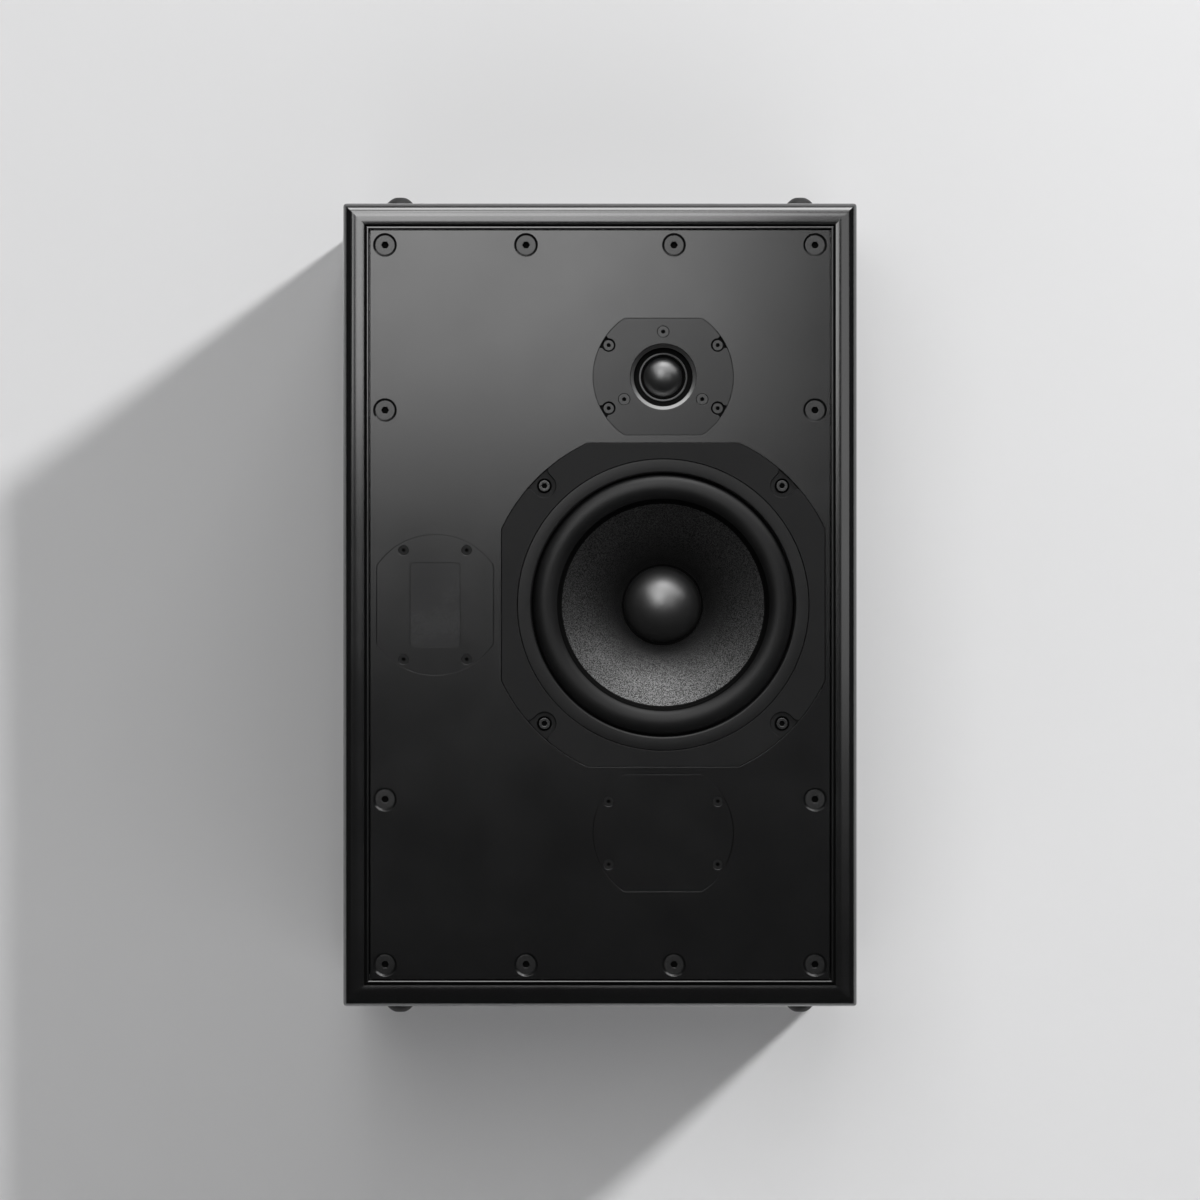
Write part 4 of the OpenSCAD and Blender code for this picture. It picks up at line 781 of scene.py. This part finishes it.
def makeTrim():
    inRound, outRound = trim["inRound"], trim["outRound"]
    points = arc(trim["outer"] - outRound, trim["face"] + outRound, outRound, 0, 90, 5)
    points += arc(trim["inner"] + inRound, trim["face"] + inRound, inRound, 90, 180, 8)
    points += [(trim["inner"], trim["back"]), (trim["outer"], trim["back"])]
    addPiece("trim_ring", spinProfile(points, wooferAt, trim["turns"]), "woofer_trim_ring")


# Corrugated spider behind the cone
spider = {"start": 25.6, "stop": 50.0, "outer": 54.0, "inner": 22.9, "depth": 39.8, "wave": 1.1, "waves": 5,
          "foot": 2, "footDrop": 0.6, "wall": 0.6, "steps": 60, "turns": 96}


def makeSpider():
    points = [(spider["inner"], spider["depth"])]
    for i in range(spider["steps"] + 1):
        share = i / spider["steps"]
        swell = spider["wave"] * math.sin(2 * math.pi * spider["waves"] * share)
        points.append((spider["start"] + (spider["stop"] - spider["start"]) * share, spider["depth"] - swell))
    footDepth = spider["depth"] + spider["footDrop"]
    points += [(spider["stop"] + spider["foot"], footDepth), (spider["outer"], footDepth)]
    bm = spinShell(points, wooferAt, spider["turns"], spider["wall"])
    piece = addPiece("corrugated_spider", bm, "woofer_spider", body="blended")
    blendByRadius(piece, spider["stop"], spider["start"])


# Tweeter dome, its small surround and the ring that carries them
dome = {"radius": 12.5, "height": 5.8, "base": 7.0, "skirt": 8.0, "wall": 0.35, "steps": 24, "turns": 96}
smallRoll = {"inner": 12.65, "outer": 13.4, "edge": 13.95, "wall": 0.22, "steps": 10, "turns": 96}
lip = {"inner": 14.0, "outer": 15.1, "front": 5.4, "back": 9.6, "foot": 18.0, "plate": 10.5, "round": 0.35,
       "ledge": 13.45, "seat": 7.25, "turns": 96}


def makeDome():
    points = domePoints(dome["radius"], dome["height"], dome["base"], dome["steps"])
    points.append((dome["radius"], dome["skirt"]))
    bm = spinShell(points, tweeterAt, dome["turns"], dome["wall"])
    addPiece("soft_dome", bm, "tweeter_dome", crease=50.0)


def makeSmallRoll():
    middle = (smallRoll["inner"] + smallRoll["outer"]) / 2
    half = (smallRoll["outer"] - smallRoll["inner"]) / 2
    points = [(smallRoll["edge"], dome["base"])]
    points += arc(middle, dome["base"], half, 0, 180, smallRoll["steps"])
    bm = spinShell(points, tweeterAt, smallRoll["turns"], smallRoll["wall"])
    # painted shade over the whole small surround
    shadeBeyond(bm, tweeterAt, 0.0)
    piece = addPiece("small_surround", bm, "tweeter_surround", body="blended")
    blendByRadius(piece, smallRoll["outer"], smallRoll["inner"])


# The flared wall of the mouth, whose lower half catches the light from above
flare = {"profile": [(20.85, 0.1), (18.5, 0.95), (18.3, 1.3), (18.25, 6.1), (19.0, 6.1), (20.9, 0.8)],
         "turns": 128}


def makeFlare():
    bm = spinProfile(flare["profile"], tweeterAt, flare["turns"])
    addPiece("mouth_flare", bm, "tweeter_faceplate", standsFor=False, finish="polished_edge")


def makeLip():
    r = lip["round"]
    points = arc(lip["outer"] - r, lip["front"] + r, r, 0, 90, 5)
    points += arc(lip["inner"] + r, lip["front"] + r, r, 90, 180, 5)
    points += [(lip["inner"], lip["seat"]), (lip["ledge"], lip["seat"]), (lip["ledge"], lip["plate"]),
               (lip["foot"], lip["plate"]), (lip["foot"], lip["back"]), (lip["outer"], lip["back"])]
    addPiece("support_ring", spinProfile(points, tweeterAt, lip["turns"]), "tweeter_support_ring")


makeCone()
makeRoll()
makeCap()
makeTrim()
makeSpider()
makeDome()
makeSmallRoll()
makeLip()
makeFlare()
print("drivers made")


# The studio: the cabinet hangs on a pale wall over a pale floor, with soft boxes in front and above
# and one lamp from the upper right
studio = {"wallGap": 1.5, "floorDrop": 1500.0, "size": 6000.0, "wallColour": (0.74, 0.74, 0.745),
          "floorColour": (0.74, 0.74, 0.745), "patches": 3.0, "mottle": (0.985, 1.015), "rough": 0.9,
          "gloss": 0.1, "clearWithin": 20.0}


def makeSheet(name, corners, colour, seeThroughBack):
    bm = bmesh.new()
    bmesh.ops.create_grid(bm, x_segments=1, y_segments=1, size=1.0)
    for vert, corner in zip(sorted(bm.verts, key=lambda v: (v.co.y, v.co.x)), corners):
        vert.co = corner
    mesh = bpy.data.meshes.new(name)
    bmesh.ops.recalc_face_normals(bm, faces=bm.faces)
    bm.to_mesh(mesh)
    bm.free()
    sheet = bpy.data.objects.new(name, mesh)
    bpy.context.scene.collection.objects.link(sheet)
    material, tree, shader, place = startMaterial(name + "_paint")
    patches = addNoise(tree, place, studio["patches"], 3.0)
    addTint(tree, shader, patches, *[tuple(c * share for c in colour) for share in studio["mottle"]])
    shader.inputs["Roughness"].default_value = studio["rough"]
    shader.inputs["Specular IOR Level"].default_value = studio["gloss"]
    if seeThroughBack:
        clear = tree.nodes.new("ShaderNodeBsdfTransparent")
        geometry = tree.nodes.new("ShaderNodeNewGeometry")
        path = tree.nodes.new("ShaderNodeLightPath")
        choose = tree.nodes.new("ShaderNodeMixShader")
        either = addMath(tree, "MAXIMUM", geometry.outputs["Backfacing"], path.outputs["Is Shadow Ray"])
        # light from behind reaches the back panel through the narrow gap
        close = addMath(tree, "LESS_THAN", path.outputs["Ray Length"], studio["clearWithin"] * mm)
        tree.links.new(addMath(tree, "MAXIMUM", either, close), choose.inputs["Fac"])
        tree.links.new(shader.outputs["BSDF"], choose.inputs[1])
        tree.links.new(clear.outputs["BSDF"], choose.inputs[2])
        tree.links.new(choose.outputs["Shader"], tree.nodes["Material Output"].inputs["Surface"])
    mesh.materials.append(material)
    return sheet


backY = cadBox[1].y + studio["wallGap"] * mm
reach = studio["size"] * mm
floorZ = cadBox[0].z - studio["floorDrop"] * mm
wall = makeSheet("wall", [(-reach, backY, floorZ), (reach, backY, floorZ), (-reach, backY, reach),
                          (reach, backY, reach)], studio["wallColour"], True)
floor = makeSheet("floor", [(-reach, -reach, floorZ), (reach, -reach, floorZ), (-reach, reach, floorZ),
                            (reach, reach, floorZ)], studio["floorColour"], False)
floor.visible_glossy = False
if wall.data.polygons[0].normal.y > 0:
    wall.data.flip_normals()
if floor.data.polygons[0].normal.z < 0:
    floor.data.flip_normals()

# The two cards light nothing and show only as reflections in the polished and domed surfaces
lamps = {
    "soft_box": {"at": (-0.53, -3.1, 1.3), "aim": (0.0, 0.0, 0.3), "size": (1.5, 1.7), "watts": 24.0},
    "top_box": {"at": (0.25, -1.1, 2.6), "aim": (0.0, -0.1, 0.3), "size": (1.6, 0.9), "watts": 18.0},
    "right_lamp": {"at": (3.7, -3.2, 3.3), "aim": (-2.5, 0.1, 0.25), "size": (0.45, 0.45), "watts": 280.0,
                   "mirrored": False},
    "back_fill": {"at": (-1.2, 3.0, 1.6), "aim": (0.0, 0.0, 0.25), "size": (1.8, 1.4), "watts": 30.0},
    "sky_card": {"at": (0.5, -1.8, 2.75), "aim": (0.0, 0.0, 0.35), "size": (6.4, 3.0), "watts": 112.0,
                 "lights": False},
    "right_card": {"at": (1.25, -3.1, 0.9), "aim": (0.0, 0.0, 0.3), "size": (1.2, 1.6), "watts": 6.0,
                   "lights": False},
}


def makeLamp(name, look):
    lamp = bpy.data.lights.new(name, "AREA")
    lamp.shape = "RECTANGLE"
    lamp.size, lamp.size_y = look["size"]
    lamp.energy = look["watts"]
    holder = bpy.data.objects.new(name, lamp)
    holder.location = look["at"]
    holder.rotation_euler = (Vector(look["aim"]) - Vector(look["at"])).to_track_quat("-Z", "Y").to_euler()
    holder.visible_camera = False
    holder.visible_glossy = look.get("mirrored", True)
    holder.visible_diffuse = look.get("lights", True)
    bpy.context.scene.collection.objects.link(holder)


for name, look in lamps.items():
    makeLamp(name, look)

# The air: dim in front, lighter behind so that the back reads, and pale where the camera sees past the floor
air = {"front": 0.035, "behind": 0.5, "change": (0.05, 0.5), "seen": 0.7}

world = bpy.data.worlds.new("studio_air")
world.use_nodes = True
sky = world.node_tree
heading = sky.nodes.new("ShaderNodeSeparateXYZ")
sky.links.new(sky.nodes.new("ShaderNodeTexCoord").outputs["Generated"], heading.inputs["Vector"])
glow = addRange(sky, heading.outputs["Y"], *air["change"], air["front"], air["behind"])
direct = sky.nodes.new("ShaderNodeLightPath").outputs["Is Camera Ray"]
lit = addMath(sky, "MULTIPLY", glow, addMath(sky, "SUBTRACT", 1.0, direct))
level = addMath(sky, "ADD", lit, addMath(sky, "MULTIPLY", direct, air["seen"]))
sky.nodes["Background"].inputs["Color"].default_value = (1.0, 1.0, 1.0, 1.0)
sky.links.new(level, sky.nodes["Background"].inputs["Strength"])
bpy.context.scene.world = world

# The camera faces the front, with the whole of a square picture 745.7 mm wide at the front of the cabinet
view = {"distance": 3.0, "width": 0.7457, "height": 0.2595, "side": 0.0}
camera = bpy.data.cameras.new("front_view")
camera.sensor_width = 36.0
camera.lens = camera.sensor_width * view["distance"] / view["width"]
cameraHolder = bpy.data.objects.new("front_view", camera)
cameraHolder.location = (view["side"], cadBox[0].y - view["distance"], view["height"])
cameraHolder.rotation_euler = (math.pi / 2, 0, 0)
bpy.context.scene.collection.objects.link(cameraHolder)
bpy.context.scene.camera = cameraHolder
bpy.context.scene.view_settings.view_transform = "Standard"
print("studio ready")
